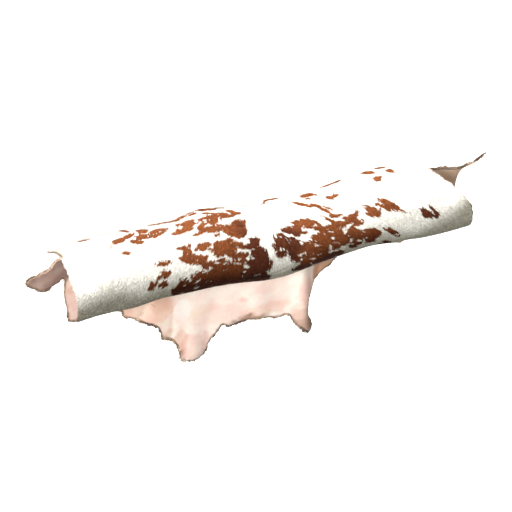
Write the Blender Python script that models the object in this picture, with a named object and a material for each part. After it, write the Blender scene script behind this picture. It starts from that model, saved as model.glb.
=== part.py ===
"""A whole cowhide with its hair on, hung over a round support that is not part of it.

The neck hangs down behind, flesh side forward. From there the hide goes over the top, hair side
out, down the front, under, and back up inside itself. The origin is on the underside of the crown,
half way along. X runs along the crown, Y points from the front to the back, Z is up. Metres.
"""
import bpy
import numpy as np
from mathutils import Vector, geometry

# The sheet
THICKNESS = 0.008           # leather with its laid coat
STEP_ALONG_CROWN = 0.072    # between the points of the mesh, along x
STEP_ROUND_CROWN = 0.034    # between the points of the mesh, along the hide's own length
RIM_STEP = 0.030            # between the points of the cut edge
RIM_BAND = 0.014            # a row of points this far inside the cut edge
RIM_BAND_CLEAR = 0.011      # points of that row nearer to the cut edge are left out
GRID_CLEAR = 0.028          # points of the even grid nearer to the cut edge are left out
OUTLINE_SPLITS = 12         # steps between two points of the outline table
SLOPE_STEP = 0.002          # either way from a place, to find how the sheet slopes there
TINY = 1e-9                 # keeps a division away from zero
MERGE = 1e-6                # flat points closer than this become one

# The hollow that the hide bends around. An angle of 0 is the middle of the back, 90 the crown,
# 180 the middle of the front and 270 the bottom. Past TURN_IN_FROM the hide winds inward.
TURN_IN_FROM = 235.0
TURN_IN_TO = 360.0
TURN_IN_SHARE = 0.14        # of the hollow's size, given up by TURN_IN_TO
INNER_SHARE = 0.10          # of the hollow's size, given up in the quarter turn after it
QUARTER_TURN = 90.0
MOST_ANGLE = 470.0
ANGLE_STEP = 0.5

# One row for each section across the crown: its place, how far the middle of the hollow is raised,
# and the hollow's half depth and half height there.
SECTION_COLUMNS = ("x", "raised", "half_depth", "half_height")
SECTIONS = (
    (-1.06, 0.013, 0.192, 0.140),
    (-0.94, 0.017, 0.195, 0.142),
    (-0.84, 0.032, 0.200, 0.150),
    (-0.63, 0.038, 0.200, 0.149),
    (-0.55, 0.039, 0.200, 0.147),
    (-0.43, 0.036, 0.200, 0.150),
    (-0.26, 0.041, 0.200, 0.161),
    (-0.13, 0.029, 0.200, 0.162),
    (0.00, 0.012, 0.200, 0.163),
    (0.13, 0.012, 0.200, 0.160),
    (0.26, 0.021, 0.196, 0.148),
    (0.40, 0.029, 0.194, 0.143),
    (0.53, 0.043, 0.196, 0.147),
    (0.67, 0.042, 0.200, 0.158),
    (0.80, 0.026, 0.200, 0.157),
    (0.92, 0.012, 0.200, 0.141),
    (1.02, 0.009, 0.200, 0.133),
    (1.36, 0.009, 0.200, 0.133),
)

# The cut outline of the hide laid flat, clockwise from the left shoulder. Along is measured from the
# middle of the back: below 0 it hangs straight, above 0 it goes round the hollow. Curl is the angle
# that the outermost band of the edge bends through, above 0 towards the flesh side.
OUTLINE_COLUMNS = ("x", "along", "curl")
LEFT_FRONT_LEG = (
    (-0.838, -0.085, 0),
    (-0.875, -0.090, 0),
    (-0.938, -0.096, 10),
    (-0.973, -0.082, 20),
    (-1.000, -0.063, 20),
    (-1.014, -0.043, 20),
    (-0.996, -0.026, 20),
    (-0.960, -0.022, 15),
    (-0.922, -0.013, 10),
    (-0.895, 0.000, 0),
    (-0.876, 0.018, 0),
    (-0.838, 0.028, 0),
)
LEFT_FLANK = (
    (-0.830, 0.060, 0),
    (-0.846, 0.092, 0),
    (-0.890, 0.117, 0),
    (-0.944, 0.146, 0),
    (-0.948, 0.200, 0),
    (-0.947, 0.274, 0),
    (-0.964, 0.376, 0),
    (-0.971, 0.469, 0),
    (-0.966, 0.550, 0),
    (-0.962, 0.618, 0),
    (-0.947, 0.677, 0),
    (-0.933, 0.735, 0),
    (-0.886, 0.825, 0),
    (-0.834, 0.900, 0),
)
RUMP = (
    (-0.804, 0.985, 0),
    (-0.776, 1.080, 0),
    (-0.686, 1.180, 0),
    (-0.510, 1.235, 0),
    (-0.257, 1.258, 0),
    (0.000, 1.264, 0),
    (0.263, 1.258, 0),
    (0.530, 1.235, 0),
    (0.724, 1.180, 0),
    (0.824, 1.080, 0),
    (0.856, 0.985, 0),
)
RIGHT_FLANK = (
    (0.925, 0.900, 0),
    (0.990, 0.822, 0),
    (1.018, 0.735, 0),
    (1.002, 0.653, 0),
    (0.988, 0.560, 0),
    (0.969, 0.500, 0),
    (0.945, 0.450, 0),
    (0.915, 0.390, 0),
    (0.895, 0.320, 0),
    (0.902, 0.244, 0),
    (0.920, 0.165, 0),
    (0.960, 0.112, 0),
    (1.020, 0.082, 0),
)
RIGHT_FRONT_LEG = (
    (1.075, 0.069, 0),
    (1.132, 0.048, 0),
    (1.193, 0.026, 0),
    (1.255, 0.020, 0),
    (1.330, 0.014, 0),
    (1.358, -0.008, 0),
    (1.322, -0.042, 0),
    (1.232, -0.086, 0),
    (1.145, -0.104, 0),
    (1.048, -0.118, 0),
    (0.968, -0.139, 0),
    (0.934, -0.190, 0),
    (0.920, -0.262, 0),
)
NECK = (
    (0.882, -0.286, 0),
    (0.761, -0.290, 0),
    (0.640, -0.300, 0),
    (0.575, -0.322, 0),
    (0.543, -0.337, 0),
    (0.513, -0.354, 0),
    (0.468, -0.359, 0),
    (0.434, -0.383, 0),
    (0.411, -0.396, 0),
    (0.402, -0.423, 0),
    (0.374, -0.460, 0),
    (0.371, -0.522, -10),
    (0.398, -0.592, -15),
    (0.395, -0.631, -10),
    (0.355, -0.612, 0),
    (0.326, -0.580, 0),
    (0.303, -0.556, 10),
    (0.292, -0.534, 15),
    (0.271, -0.507, 0),
    (0.218, -0.509, 0),
    (0.117, -0.480, 0),
    (0.043, -0.476, 0),
    (-0.029, -0.496, 0),
    (-0.064, -0.480, 0),
    (-0.087, -0.511, 0),
    (-0.125, -0.548, -10),
    (-0.142, -0.593, -25),
    (-0.170, -0.630, -30),
    (-0.226, -0.640, -25),
    (-0.266, -0.627, 10),
    (-0.286, -0.596, 30),
    (-0.289, -0.560, 0),
    (-0.317, -0.511, 0),
    (-0.361, -0.486, 0),
    (-0.394, -0.426, 0),
    (-0.457, -0.388, 0),
    (-0.507, -0.359, 0),
    (-0.556, -0.337, 0),
    (-0.568, -0.309, 0),
    (-0.620, -0.296, 0),
    (-0.719, -0.297, 0),
    (-0.812, -0.298, 0),
    (-0.826, -0.240, 0),
    (-0.840, -0.160, 0),
)
OUTLINE = LEFT_FRONT_LEG + LEFT_FLANK + RUMP + RIGHT_FLANK + RIGHT_FRONT_LEG + NECK
CURL_BAND = 0.045           # width of the band that curls
LEAST_CURL = 1e-3           # radians, taken for an edge that is flat

# Soft folds and hollows, each a long or round mound. Turn tilts its long side from the crown's
# direction towards the hide's length. Height is above 0 on the hair side.
FOLD_COLUMNS = ("x", "along", "half_long", "half_wide", "turn", "height")
FOLDS = (
    (0.055, 0.380, 0.190, 0.045, 80, -0.012),
    (0.110, 0.640, 0.090, 0.040, 60, -0.008),
    (-0.220, -0.590, 0.110, 0.050, 90, -0.014),
    (0.345, -0.500, 0.240, 0.048, 90, -0.034),
    (0.640, -0.380, 0.280, 0.200, 90, 0.055),
    (-0.119, -0.430, 0.160, 0.050, 70, 0.005),
    (-0.413, -0.370, 0.150, 0.070, 80, -0.008),
    (0.121, -0.400, 0.120, 0.060, 90, -0.010),
    (-0.682, -0.230, 0.130, 0.070, 90, 0.012),
)

# A leg past its root bends about the crown's direction, up to a full turn at turned_x, and rises
# and swings back towards its tip. The bend reaches a short way round the hinge line and fades out.
LEG_COLUMNS = ("side", "root_x", "turned_x", "tip_x", "hinge_along", "turn", "rise", "back")
LEGS = (
    (-1, 0.840, 0.990, 1.014, -0.040, 18, -0.006, 0.020),
    (1, 1.150, 1.240, 1.358, 0.030, -52, 0.028, 0.030),
)
LEG_REACH = 0.22
LEG_FADE = 0.12

HAIR_COLOUR = (0.80, 0.76, 0.68, 1)
HAIR_ROUGHNESS = 0.75


def row(columns, values):
    """One table row, read by column name."""
    return dict(zip(columns, values))


def column(columns, rows, name):
    """One column of a table, by name."""
    return np.array([values[columns.index(name)] for values in rows], float)


def through(places, values, at):
    """A smooth curve through the table's values, read at other places."""
    slopes = np.gradient(values, places)
    index = np.clip(np.searchsorted(places, at) - 1, 0, len(places) - 2)
    gap = places[index + 1] - places[index]
    t = np.clip((at - places[index]) / gap, 0, 1)
    start = values[index] * (1 + 2 * t) * (1 - t) ** 2 + slopes[index] * gap * t * (1 - t) ** 2
    end = values[index + 1] * t**2 * (3 - 2 * t) + slopes[index + 1] * gap * t**2 * (t - 1)
    return start + end


def eased(t):
    """From 0 to 1 with soft ends."""
    t = np.clip(t, 0, 1)
    return t * t * (3 - 2 * t)


def section_value(name, x):
    """A size of the hollow at places along the crown."""
    places = column(SECTION_COLUMNS, SECTIONS, "x")
    return through(places, column(SECTION_COLUMNS, SECTIONS, name), x)


def winding(angle):
    """The share of the hollow's size that the hide keeps at an angle, less as it winds inward."""
    turned = eased((angle - TURN_IN_FROM) / (TURN_IN_TO - TURN_IN_FROM)) * TURN_IN_SHARE
    inner = np.clip((angle - TURN_IN_TO) / QUARTER_TURN, 0, None) * INNER_SHARE
    return 1 - turned - inner


MIDDLE = np.array([0.0])


def trace_section():
    """The length of hide from the middle of the back to each angle, on the middle section."""
    angles = np.arange(0, MOST_ANGLE, ANGLE_STEP)
    turn = np.radians(angles)
    y = section_value("half_depth", MIDDLE)[0] * winding(angles) * np.cos(turn)
    z = section_value("half_height", MIDDLE)[0] * winding(angles) * np.sin(turn)
    lengths = np.concatenate([[0], np.cumsum(np.hypot(np.diff(y), np.diff(z)))])
    return angles, lengths


SECTION_ANGLES, SECTION_LENGTHS = trace_section()
CROWN_HEIGHT = section_value("raised", MIDDLE)[0] + section_value("half_height", MIDDLE)[0]
CENTRE_Z = THICKNESS / 2 - CROWN_HEIGHT


def bare_drape(x, along):
    """Places on the middle of the sheet, before folds: straight behind, then round the hollow."""
    angle = np.interp(np.maximum(along, 0), SECTION_LENGTHS, SECTION_ANGLES)
    turn = np.radians(angle)
    kept = winding(angle)
    y = section_value("half_depth", x) * kept * np.cos(turn)
    z = section_value("half_height", x) * kept * np.sin(turn) + np.minimum(along, 0)
    return np.stack([x, y, z + CENTRE_Z + section_value("raised", x)], axis=-1)


def bend_legs(x, along, places):
    """Turns each front leg about its hinge line, more towards its tip."""
    for values in LEGS:
        leg = row(LEG_COLUMNS, values)
        past_root = x * leg["side"] - leg["root_x"]
        near = eased((LEG_REACH - np.abs(along - leg["hinge_along"])) / LEG_FADE)
        turned = near * eased(past_root / (leg["turned_x"] - leg["root_x"]))
        out = near * np.clip(past_root / (leg["tip_x"] - leg["root_x"]), 0, None) ** 2
        hinge = bare_drape(x, np.full_like(x, leg["hinge_along"]))
        turn = np.radians(leg["turn"]) * turned
        dy, dz = (places - hinge)[:, 1], (places - hinge)[:, 2]
        places[:, 1] = hinge[:, 1] + dy * np.cos(turn) + dz * np.sin(turn) + leg["back"] * out
        places[:, 2] = hinge[:, 2] - dy * np.sin(turn) + dz * np.cos(turn) + leg["rise"] * out
    return places


def fold_height(x, along):
    """How far the folds stand off the bare drape, towards the hair side."""
    height = np.zeros_like(x)
    for values in FOLDS:
        fold = row(FOLD_COLUMNS, values)
        turn = np.radians(fold["turn"])
        dx, ds = x - fold["x"], along - fold["along"]
        far = (dx * np.cos(turn) + ds * np.sin(turn)) / fold["half_long"]
        wide = (-dx * np.sin(turn) + ds * np.cos(turn)) / fold["half_wide"]
        height += fold["height"] * np.exp(-(far**2 + wide**2))
    return height


def unit(directions):
    """The same directions with a length of 1."""
    return directions / np.maximum(np.linalg.norm(directions, axis=1, keepdims=True), TINY)


def hair_side(shape, x, along):
    """Three directions on a shape: out of its hair side, across and onward along the hide."""
    across = unit(shape(x + SLOPE_STEP, along) - shape(x - SLOPE_STEP, along))
    onward = unit(shape(x, along + SLOPE_STEP) - shape(x, along - SLOPE_STEP))
    return unit(np.cross(onward, across)), across, onward


def bent_drape(x, along):
    """The drape with its legs bent, before folds."""
    return bend_legs(x, along, bare_drape(x, along))


def folded_drape(x, along):
    """The drape with its legs bent and its folds."""
    out = hair_side(bent_drape, x, along)[0]
    return bent_drape(x, along) + out * fold_height(x, along)[:, None]


def edge_loop(rows, step):
    """The outline as a smooth closed loop of points about a step apart."""
    points = np.array(rows, float)
    before, after = np.roll(points, 1, axis=0), np.roll(points, -1, axis=0)
    later = np.roll(points, -2, axis=0)
    loop = []
    for t in np.linspace(0, 1, OUTLINE_SPLITS, endpoint=False):
        loop.append(0.5 * (2 * points + (after - before) * t
                           + (2 * before - 5 * points + 4 * after - later) * t**2
                           + (3 * points - before - 3 * after + later) * t**3))
    dense = np.stack(loop, axis=1).reshape(-1, points.shape[1])
    closed = np.vstack([dense, dense[:1]])
    steps = np.linalg.norm(np.diff(closed[:, :2], axis=0), axis=1)
    lengths = np.concatenate([[0], np.cumsum(steps)])
    at = np.linspace(0, lengths[-1], round(lengths[-1] / step), endpoint=False)
    return np.stack([np.interp(at, lengths, values) for values in closed.T], axis=1)


def nearest_edge(flat, loop):
    """For each flat point: distance to the cut edge, the way to it, and the edge's curl there."""
    starts, ends = loop[:, :2], np.roll(loop, -1, axis=0)[:, :2]
    runs = ends - starts
    shares = ((flat[:, None] - starts) * runs).sum(-1) / (runs**2).sum(-1)
    shares = np.clip(shares, 0, 1)
    gaps = starts + shares[..., None] * runs - flat[:, None]
    distances = np.linalg.norm(gaps, axis=-1)
    nearest = distances.argmin(axis=1)
    every = np.arange(len(flat))
    curls = loop[:, 2]
    share = shares[every, nearest]
    curl = curls[nearest] * (1 - share) + np.roll(curls, -1)[nearest] * share
    return distances[every, nearest], unit(gaps[every, nearest]), curl


def inside(flat, loop):
    """Which flat points lie inside the outline."""
    starts, ends = loop[:, :2], np.roll(loop, -1, axis=0)[:, :2]
    x, along = flat[:, :1], flat[:, 1:2]
    spans = (starts[:, 1] > along) != (ends[:, 1] > along)
    climb = ends[:, 1] - starts[:, 1]
    share = (along - starts[:, 1]) / np.where(climb == 0, TINY, climb)
    crossing = starts[:, 0] + share * (ends[:, 0] - starts[:, 0])
    return (spans & (x < crossing)).sum(axis=1) % 2 == 1


def flat_mesh(loop):
    """Flat points and triangles that fill the outline: its edge, a row inside it and an even grid."""
    edge_way = (np.roll(loop, -1, axis=0) - np.roll(loop, 1, axis=0))[:, :2]
    inward = unit(np.stack([edge_way[:, 1], -edge_way[:, 0]], axis=1))
    band = loop[:, :2] + inward * RIM_BAND
    band = band[inside(band, loop) & (nearest_edge(band, loop)[0] > RIM_BAND_CLEAR)]
    across = np.arange(loop[:, 0].min(), loop[:, 0].max(), STEP_ALONG_CROWN)
    onward = np.arange(loop[:, 1].min(), loop[:, 1].max(), STEP_ROUND_CROWN)
    x, along = np.meshgrid(across, onward)
    x[1::2] += STEP_ALONG_CROWN / 2
    grid = np.stack([x.ravel(), along.ravel()], axis=1)
    grid = grid[inside(grid, loop) & (nearest_edge(grid, loop)[0] > GRID_CLEAR)]
    points = [Vector(point) for point in np.vstack([loop[:, :2], band, grid])]
    edges = [(i, (i + 1) % len(loop)) for i in range(len(loop))]
    found = geometry.delaunay_2d_cdt(points, edges, [], 0, MERGE)
    flat = np.array([tuple(point) for point in found[0]])
    faces = np.array(found[2])
    return flat, faces[inside(flat[faces].mean(axis=1), loop)]


def curl_edges(flat, loop, places, out, across, onward):
    """Bends the outermost band of the edge towards the flesh side."""
    distance, way, curl = nearest_edge(flat, loop)
    run = np.clip(CURL_BAND - distance, 0, None)
    radius = CURL_BAND / np.maximum(np.radians(np.abs(curl)), LEAST_CURL)
    outward = unit(across * way[:, :1] + onward * way[:, 1:])
    slid = (radius * np.sin(run / radius) - run)[:, None] * outward
    lifted = (radius * (1 - np.cos(run / radius)) * -np.sign(curl))[:, None] * out
    return places + slid + lifted


def hide_mesh():
    """The hide as a closed mesh: hair side, flesh side and the cut edge between them."""
    loop = edge_loop(OUTLINE, RIM_STEP)
    flat, faces = flat_mesh(loop)
    x, along = flat[:, 0], flat[:, 1]
    out, across, onward = hair_side(folded_drape, x, along)
    places = curl_edges(flat, loop, folded_drape(x, along), out, across, onward)
    first, second, third = places[faces].transpose(1, 0, 2)
    normals = np.zeros_like(places)
    for corner in faces.T:
        np.add.at(normals, corner, np.cross(second - first, third - first))
    shift = unit(normals) * THICKNESS / 2
    points = np.vstack([places + shift, places - shift])
    count = len(flat)
    triangles = faces.tolist() + (faces[:, ::-1] + count).tolist()
    for face in faces.tolist():
        for a, b in zip(face, face[1:] + face[:1]):
            if max(a, b) < len(loop) and (b - a) % len(loop) in (1, len(loop) - 1):
                triangles += [(b, a, a + count), (b, a + count, b + count)]
    mesh = bpy.data.meshes.new("hide")
    mesh.from_pydata(points.tolist(), [], triangles)
    mesh.validate()
    return mesh


def hair_on_leather():
    """White and red-brown hair on leather."""
    material = bpy.data.materials.new("hair_on_leather")
    material.use_nodes = True
    shader = material.node_tree.nodes["Principled BSDF"]
    shader.inputs["Base Color"].default_value = HAIR_COLOUR
    shader.inputs["Roughness"].default_value = HAIR_ROUGHNESS
    shader.inputs["Metallic"].default_value = 0.0
    return material


for old in list(bpy.data.objects):
    bpy.data.objects.remove(old)
hide = bpy.data.objects.new("hide", hide_mesh())
hide.data.materials.append(hair_on_leather())
hide.data.shade_smooth()
bpy.context.scene.collection.objects.link(hide)
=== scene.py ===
"""A whole cowhide with its hair on, red-brown spots on white, hung over a round support.

The hide's own directions are used all through: x runs across it from leg to leg, and along runs from
the neck to the rump. Along 0 is the middle of the back of the roll. Sizes are in metres. Only the
tables of patches, which are stains with painted shade and highlight, spots, gaps and soiled parts, are
in millimetres.
"""
import math
import bpy
import numpy as np
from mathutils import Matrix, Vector, geometry


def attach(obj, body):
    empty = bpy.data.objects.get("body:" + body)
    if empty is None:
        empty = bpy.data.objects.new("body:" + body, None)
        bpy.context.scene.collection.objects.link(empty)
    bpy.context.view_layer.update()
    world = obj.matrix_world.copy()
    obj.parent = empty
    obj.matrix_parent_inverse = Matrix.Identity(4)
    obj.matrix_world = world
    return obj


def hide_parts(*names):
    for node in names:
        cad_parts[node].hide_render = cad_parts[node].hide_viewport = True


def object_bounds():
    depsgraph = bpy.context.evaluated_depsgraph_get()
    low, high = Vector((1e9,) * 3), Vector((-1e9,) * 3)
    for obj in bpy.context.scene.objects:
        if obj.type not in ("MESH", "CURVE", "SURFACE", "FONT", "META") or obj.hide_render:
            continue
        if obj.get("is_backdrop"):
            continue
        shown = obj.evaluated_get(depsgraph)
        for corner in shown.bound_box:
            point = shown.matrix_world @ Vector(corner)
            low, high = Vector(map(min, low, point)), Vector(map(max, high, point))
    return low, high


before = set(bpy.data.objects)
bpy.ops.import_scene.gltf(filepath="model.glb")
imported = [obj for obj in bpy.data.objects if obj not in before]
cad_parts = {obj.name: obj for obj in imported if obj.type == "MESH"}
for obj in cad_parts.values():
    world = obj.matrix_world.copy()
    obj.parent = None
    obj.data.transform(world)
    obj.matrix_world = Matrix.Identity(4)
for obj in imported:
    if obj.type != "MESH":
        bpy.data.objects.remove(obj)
cad_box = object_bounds()


# The skin. One cattle hide, tanned and split to about 3 mm: a smooth grain side that the hair grows
# from, a pale suede-like flesh side, and a knife-cut edge all round. It hangs over its support by its
# own weight, flesh side in, with the neck end hanging free behind.

# The hollow that the hide bends around. An angle of 0 is the middle of the back, 90 the crown, 180 the
# middle of the front and 270 the bottom. Further on the hide winds inward.
MIDDLE_RAISED, MIDDLE_HALF_DEPTH, MIDDLE_HALF_HEIGHT = 0.012, 0.200, 0.163
SECTION_COLUMNS = "x raised half_depth half_height"
SECTIONS = (
    (-1.06, 0.013, 0.192, 0.140), (-0.94, 0.017, 0.195, 0.142), (-0.84, 0.032, 0.200, 0.150),
    (-0.63, 0.038, 0.200, 0.149), (-0.55, 0.039, 0.200, 0.147), (-0.43, 0.036, 0.200, 0.150),
    (-0.26, 0.041, 0.200, 0.161), (-0.13, 0.029, 0.200, 0.162),
    (0.00, MIDDLE_RAISED, MIDDLE_HALF_DEPTH, MIDDLE_HALF_HEIGHT), (0.13, 0.012, 0.200, 0.160),
    (0.26, 0.021, 0.196, 0.148), (0.40, 0.029, 0.194, 0.143), (0.53, 0.043, 0.196, 0.147),
    (0.67, 0.042, 0.200, 0.158), (0.80, 0.026, 0.200, 0.157), (0.92, 0.012, 0.200, 0.141),
    (1.02, 0.009, 0.200, 0.133), (1.36, 0.009, 0.200, 0.133),
)
SOLID_HALF = 0.004          # the crown's underside is this far inside the middle of the sheet
CENTRE_Z = SOLID_HALF - MIDDLE_RAISED - MIDDLE_HALF_HEIGHT
TURN_IN_FROM = 235.0        # the angles between which the hollow gets smaller, and by what share
TURN_IN_TO = 360.0
TURN_IN_SHARE = 0.14
INNER_SHARE = 0.10          # the share that it loses in each quarter turn after that
QUARTER_TURN = 90.0
MOST_ANGLE = 470.0
ANGLE_STEP = 0.5

# The knife-cut outline, clockwise from the left shoulder: x, along and curl. Curl is the angle that the
# outermost band bends through, above 0 towards the flesh side.
LEFT_FRONT_LEG = (
    (-0.838, -0.085, 0), (-0.875, -0.090, 0), (-0.938, -0.096, 10), (-0.973, -0.082, 20),
    (-1.000, -0.063, 20), (-1.014, -0.043, 20), (-0.996, -0.026, 20), (-0.960, -0.022, 15),
    (-0.922, -0.013, 10), (-0.895, 0.000, 0), (-0.876, 0.018, 0), (-0.838, 0.028, 0),
)
LEFT_FLANK = (
    (-0.830, 0.060, 0), (-0.846, 0.092, 0), (-0.890, 0.117, 0), (-0.944, 0.146, 0), (-0.948, 0.200, 0),
    (-0.947, 0.274, 0), (-0.964, 0.376, 0), (-0.971, 0.469, 0), (-0.966, 0.550, 0), (-0.962, 0.618, 0),
    (-0.947, 0.677, 0), (-0.933, 0.735, 0), (-0.886, 0.825, 0), (-0.834, 0.900, 0),
)
RUMP = (
    (-0.804, 0.985, 0), (-0.776, 1.080, 0), (-0.686, 1.180, 0), (-0.510, 1.235, 0), (-0.257, 1.258, 0),
    (0.000, 1.264, 0), (0.263, 1.258, 0), (0.530, 1.235, 0), (0.724, 1.180, 0), (0.824, 1.080, 0),
    (0.856, 0.985, 0),
)
RIGHT_FLANK = (
    (0.925, 0.900, 0), (0.990, 0.822, 0), (1.018, 0.735, 0), (1.002, 0.653, 0), (0.988, 0.560, 0),
    (0.969, 0.500, 0), (0.945, 0.450, 0), (0.915, 0.390, 0), (0.895, 0.320, 0), (0.902, 0.244, 0),
    (0.920, 0.165, 0), (0.960, 0.112, 0), (1.020, 0.082, 0),
)
RIGHT_FRONT_LEG = (
    (1.075, 0.069, 0), (1.132, 0.048, 0), (1.193, 0.026, 0), (1.255, 0.020, 0), (1.330, 0.014, 0),
    (1.358, -0.008, 0), (1.322, -0.042, 0), (1.232, -0.086, 0), (1.145, -0.104, 0), (1.048, -0.118, 0),
    (0.968, -0.139, 0), (0.934, -0.190, 0), (0.920, -0.262, 0),
)
NECK = (
    (0.882, -0.286, 0), (0.761, -0.290, 0), (0.640, -0.300, 0), (0.575, -0.322, 0), (0.543, -0.337, 0),
    (0.513, -0.354, 0), (0.468, -0.359, 0), (0.434, -0.383, 0), (0.411, -0.396, 0), (0.402, -0.423, 0),
    (0.374, -0.460, 0), (0.371, -0.522, -10), (0.398, -0.592, -15), (0.395, -0.631, -10),
    (0.355, -0.612, 0), (0.326, -0.580, 0), (0.303, -0.556, 10), (0.292, -0.534, 15), (0.271, -0.507, 0),
    (0.218, -0.509, 0), (0.117, -0.480, 0), (0.043, -0.476, 0), (-0.029, -0.496, 0), (-0.064, -0.480, 0),
    (-0.087, -0.511, 0), (-0.125, -0.548, -10), (-0.142, -0.593, -25), (-0.170, -0.630, -30),
    (-0.226, -0.640, -25), (-0.266, -0.627, 10), (-0.286, -0.596, 30), (-0.289, -0.560, 0),
    (-0.317, -0.511, 0), (-0.361, -0.486, 0), (-0.394, -0.426, 0), (-0.457, -0.388, 0), (-0.507, -0.359, 0),
    (-0.556, -0.337, 0), (-0.568, -0.309, 0), (-0.620, -0.296, 0), (-0.719, -0.297, 0), (-0.812, -0.298, 0),
    (-0.826, -0.240, 0), (-0.840, -0.160, 0),
)
OUTLINE = LEFT_FRONT_LEG + LEFT_FLANK + RUMP + RIGHT_FLANK + RIGHT_FRONT_LEG + NECK
CURVE_PARTS = 12            # from each point of the outline to the next
CURL_BAND = 0.045           # how wide the outermost band is
LEAST_CURL = 1e-3
EDGE_INSET = 0.005          # the leather ends this far inside the solid, where its edge hair goes on
KNIFE_WANDER = ((0.060, 0.0040), (0.020, 0.0028))   # how far the knife strayed, over each length
KNIFE_SEED = 40

# Soft troughs and ridges: x, along, half long, half wide, turn and height. Turn tilts a fold's long side
# from x towards the hide's length, and height is above 0 on the hair side.
FOLDS = (
    (0.055, 0.380, 0.190, 0.045, 80, -0.012), (0.110, 0.640, 0.090, 0.040, 60, -0.008),
    (-0.220, -0.590, 0.110, 0.050, 90, -0.014), (0.345, -0.500, 0.240, 0.048, 90, -0.034),
    (0.640, -0.380, 0.280, 0.200, 90, 0.055), (-0.119, -0.430, 0.160, 0.050, 70, 0.005),
    (-0.413, -0.370, 0.150, 0.070, 80, -0.008), (0.121, -0.400, 0.120, 0.060, 90, -0.010),
    (-0.682, -0.230, 0.130, 0.070, 90, 0.012),
)

# Sharper creases in the same columns: one where the left of the flap turns away, the small ones of its
# lobes, and the wrinkles where the thick skin of the spine is bent.
CREASES = (
    (-0.316, -0.420, 0.090, 0.012, 86, 0.002), (-0.470, -0.350, 0.070, 0.020, 60, 0.005),
    (-0.262, -0.560, 0.050, 0.012, 70, 0.002), (0.283, -0.560, 0.050, 0.012, 80, 0.004),
    (0.425, -0.420, 0.090, 0.016, 75, 0.008), (-0.030, 0.628, 0.060, 0.008, -20, -0.004),
    (0.005, 0.652, 0.070, 0.009, -16, -0.005), (0.040, 0.690, 0.080, 0.010, -12, -0.006),
    (-0.700, 0.560, 0.120, 0.030, 20, -0.003), (-0.450, 0.420, 0.100, 0.030, 35, -0.003),
    (0.640, 0.480, 0.120, 0.028, -30, -0.004), (0.800, 0.380, 0.100, 0.025, -50, -0.003),
    (0.610, 0.690, 0.110, 0.060, 0, 0.010), (-0.680, 0.690, 0.100, 0.060, 0, 0.010),
    (1.235, 0.000, 0.070, 0.016, 90, 0.007), (1.298, 0.000, 0.070, 0.022, 90, -0.006),
)

# Each front leg bends about the crown's direction, and rises and swings back towards its tip: side, root
# x, turned x, tip x, hinge along, turn, rise and back.
LEGS = (
    (-1, 0.840, 0.990, 1.014, -0.040, 18, -0.006, 0.020),
    (1, 1.150, 1.240, 1.358, 0.030, -52, 0.028, 0.030),
)
LEG_REACH = 0.22            # a leg's bend ends this far from its hinge along the hide
LEG_FADE = 0.12

LEATHER = (-0.0040, -0.0010)    # the flesh side and the grain side, from the middle of the solid
OUTLINE_STEP = 0.030            # between the outline's points that depths are measured from
CUT_STEP = 0.006                # between the points of the cut edge
CUT_CLEAR = 0.006               # the skin's other points keep this far from the cut
NET_STEP = 0.005                # of the net that the drape is worked out on
NET_MARGIN = 0.03
NET_LAST = 1.001                # a reading stays this many knots inside the net's far sides
SLOPE_STEP = 0.002              # over which the drape's directions are measured
FLESH_STEP = 0.0062             # between the points of the skin where its flesh side shows
WOUND_STEP = 0.0150             # and where it is wound into the roll
SHOWN_TO = 0.06                 # the flesh side shows before this place along the hide
FAR = 9                         # past any place on the hide
ROW_SHARE = 0.866               # of the step, between rows of even triangles
MERGE_REACH = 1e-6              # points nearer than this become one
TINY = 1e-9


def table(columns, rows):
    """A table's columns as arrays, by name."""
    return dict(zip(columns.split(), np.array(rows, float).T))


def eased(t):
    """From 0 to 1 with soft ends."""
    t = np.clip(t, 0, 1)
    return t * t * (3 - 2 * t)


def unit(directions):
    """The same directions with a length of 1."""
    return directions / np.maximum(np.linalg.norm(directions, axis=-1, keepdims=True), TINY)


def crosswise(ahead):
    """The flat directions at right angles to others."""
    return np.stack([ahead[:, 1], -ahead[:, 0]], axis=1)


def past(value, fade):
    """From 0 to 1 as a value goes through 0, over a fade."""
    return eased(value / fade + 0.5)


def through(places, values, at):
    """A smooth curve through the table's values, read at other places."""
    slopes = np.gradient(values, places)
    index = np.clip(np.searchsorted(places, at) - 1, 0, len(places) - 2)
    gap = places[index + 1] - places[index]
    t = np.clip((at - places[index]) / gap, 0, 1)
    start = values[index] * (1 + 2 * t) * (1 - t) ** 2 + slopes[index] * gap * t * (1 - t) ** 2
    end = values[index + 1] * t**2 * (3 - 2 * t) + slopes[index + 1] * gap * t**2 * (t - 1)
    return start + end


def wander(flat, size, seed, stretch=1.0, way=0.0):
    """Smooth random numbers from -1 to 1 that change over about a size, longer along a way."""
    count = 128
    lattice = np.random.default_rng(seed).uniform(-1, 1, (count, count))
    u = (flat[:, 0] * np.cos(way) - flat[:, 1] * np.sin(way)) / size
    v = (flat[:, 0] * np.sin(way) + flat[:, 1] * np.cos(way)) / (size * stretch)
    i, j = np.floor(u).astype(int), np.floor(v).astype(int)
    a, b = eased(u - i), eased(v - j)
    corner = lambda k, m: lattice[(i + k) % count, (j + m) % count]
    low = corner(0, 0) * (1 - a) + corner(1, 0) * a
    high = corner(0, 1) * (1 - a) + corner(1, 1) * a
    return low * (1 - b) + high * b


def strayed(flat, amounts, seed, stretch=1.0, way=0.0):
    """Wander over several sizes at once, each with its own amount."""
    return sum(amount * wander(flat, size, seed + k, stretch, way)
               for k, (size, amount) in enumerate(amounts))


def winding(angle):
    """The share of the hollow's size that the hide keeps at an angle, less as it winds inward."""
    turned = eased((angle - TURN_IN_FROM) / (TURN_IN_TO - TURN_IN_FROM)) * TURN_IN_SHARE
    return 1 - turned - np.clip((angle - TURN_IN_TO) / QUARTER_TURN, 0, None) * INNER_SHARE


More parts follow.
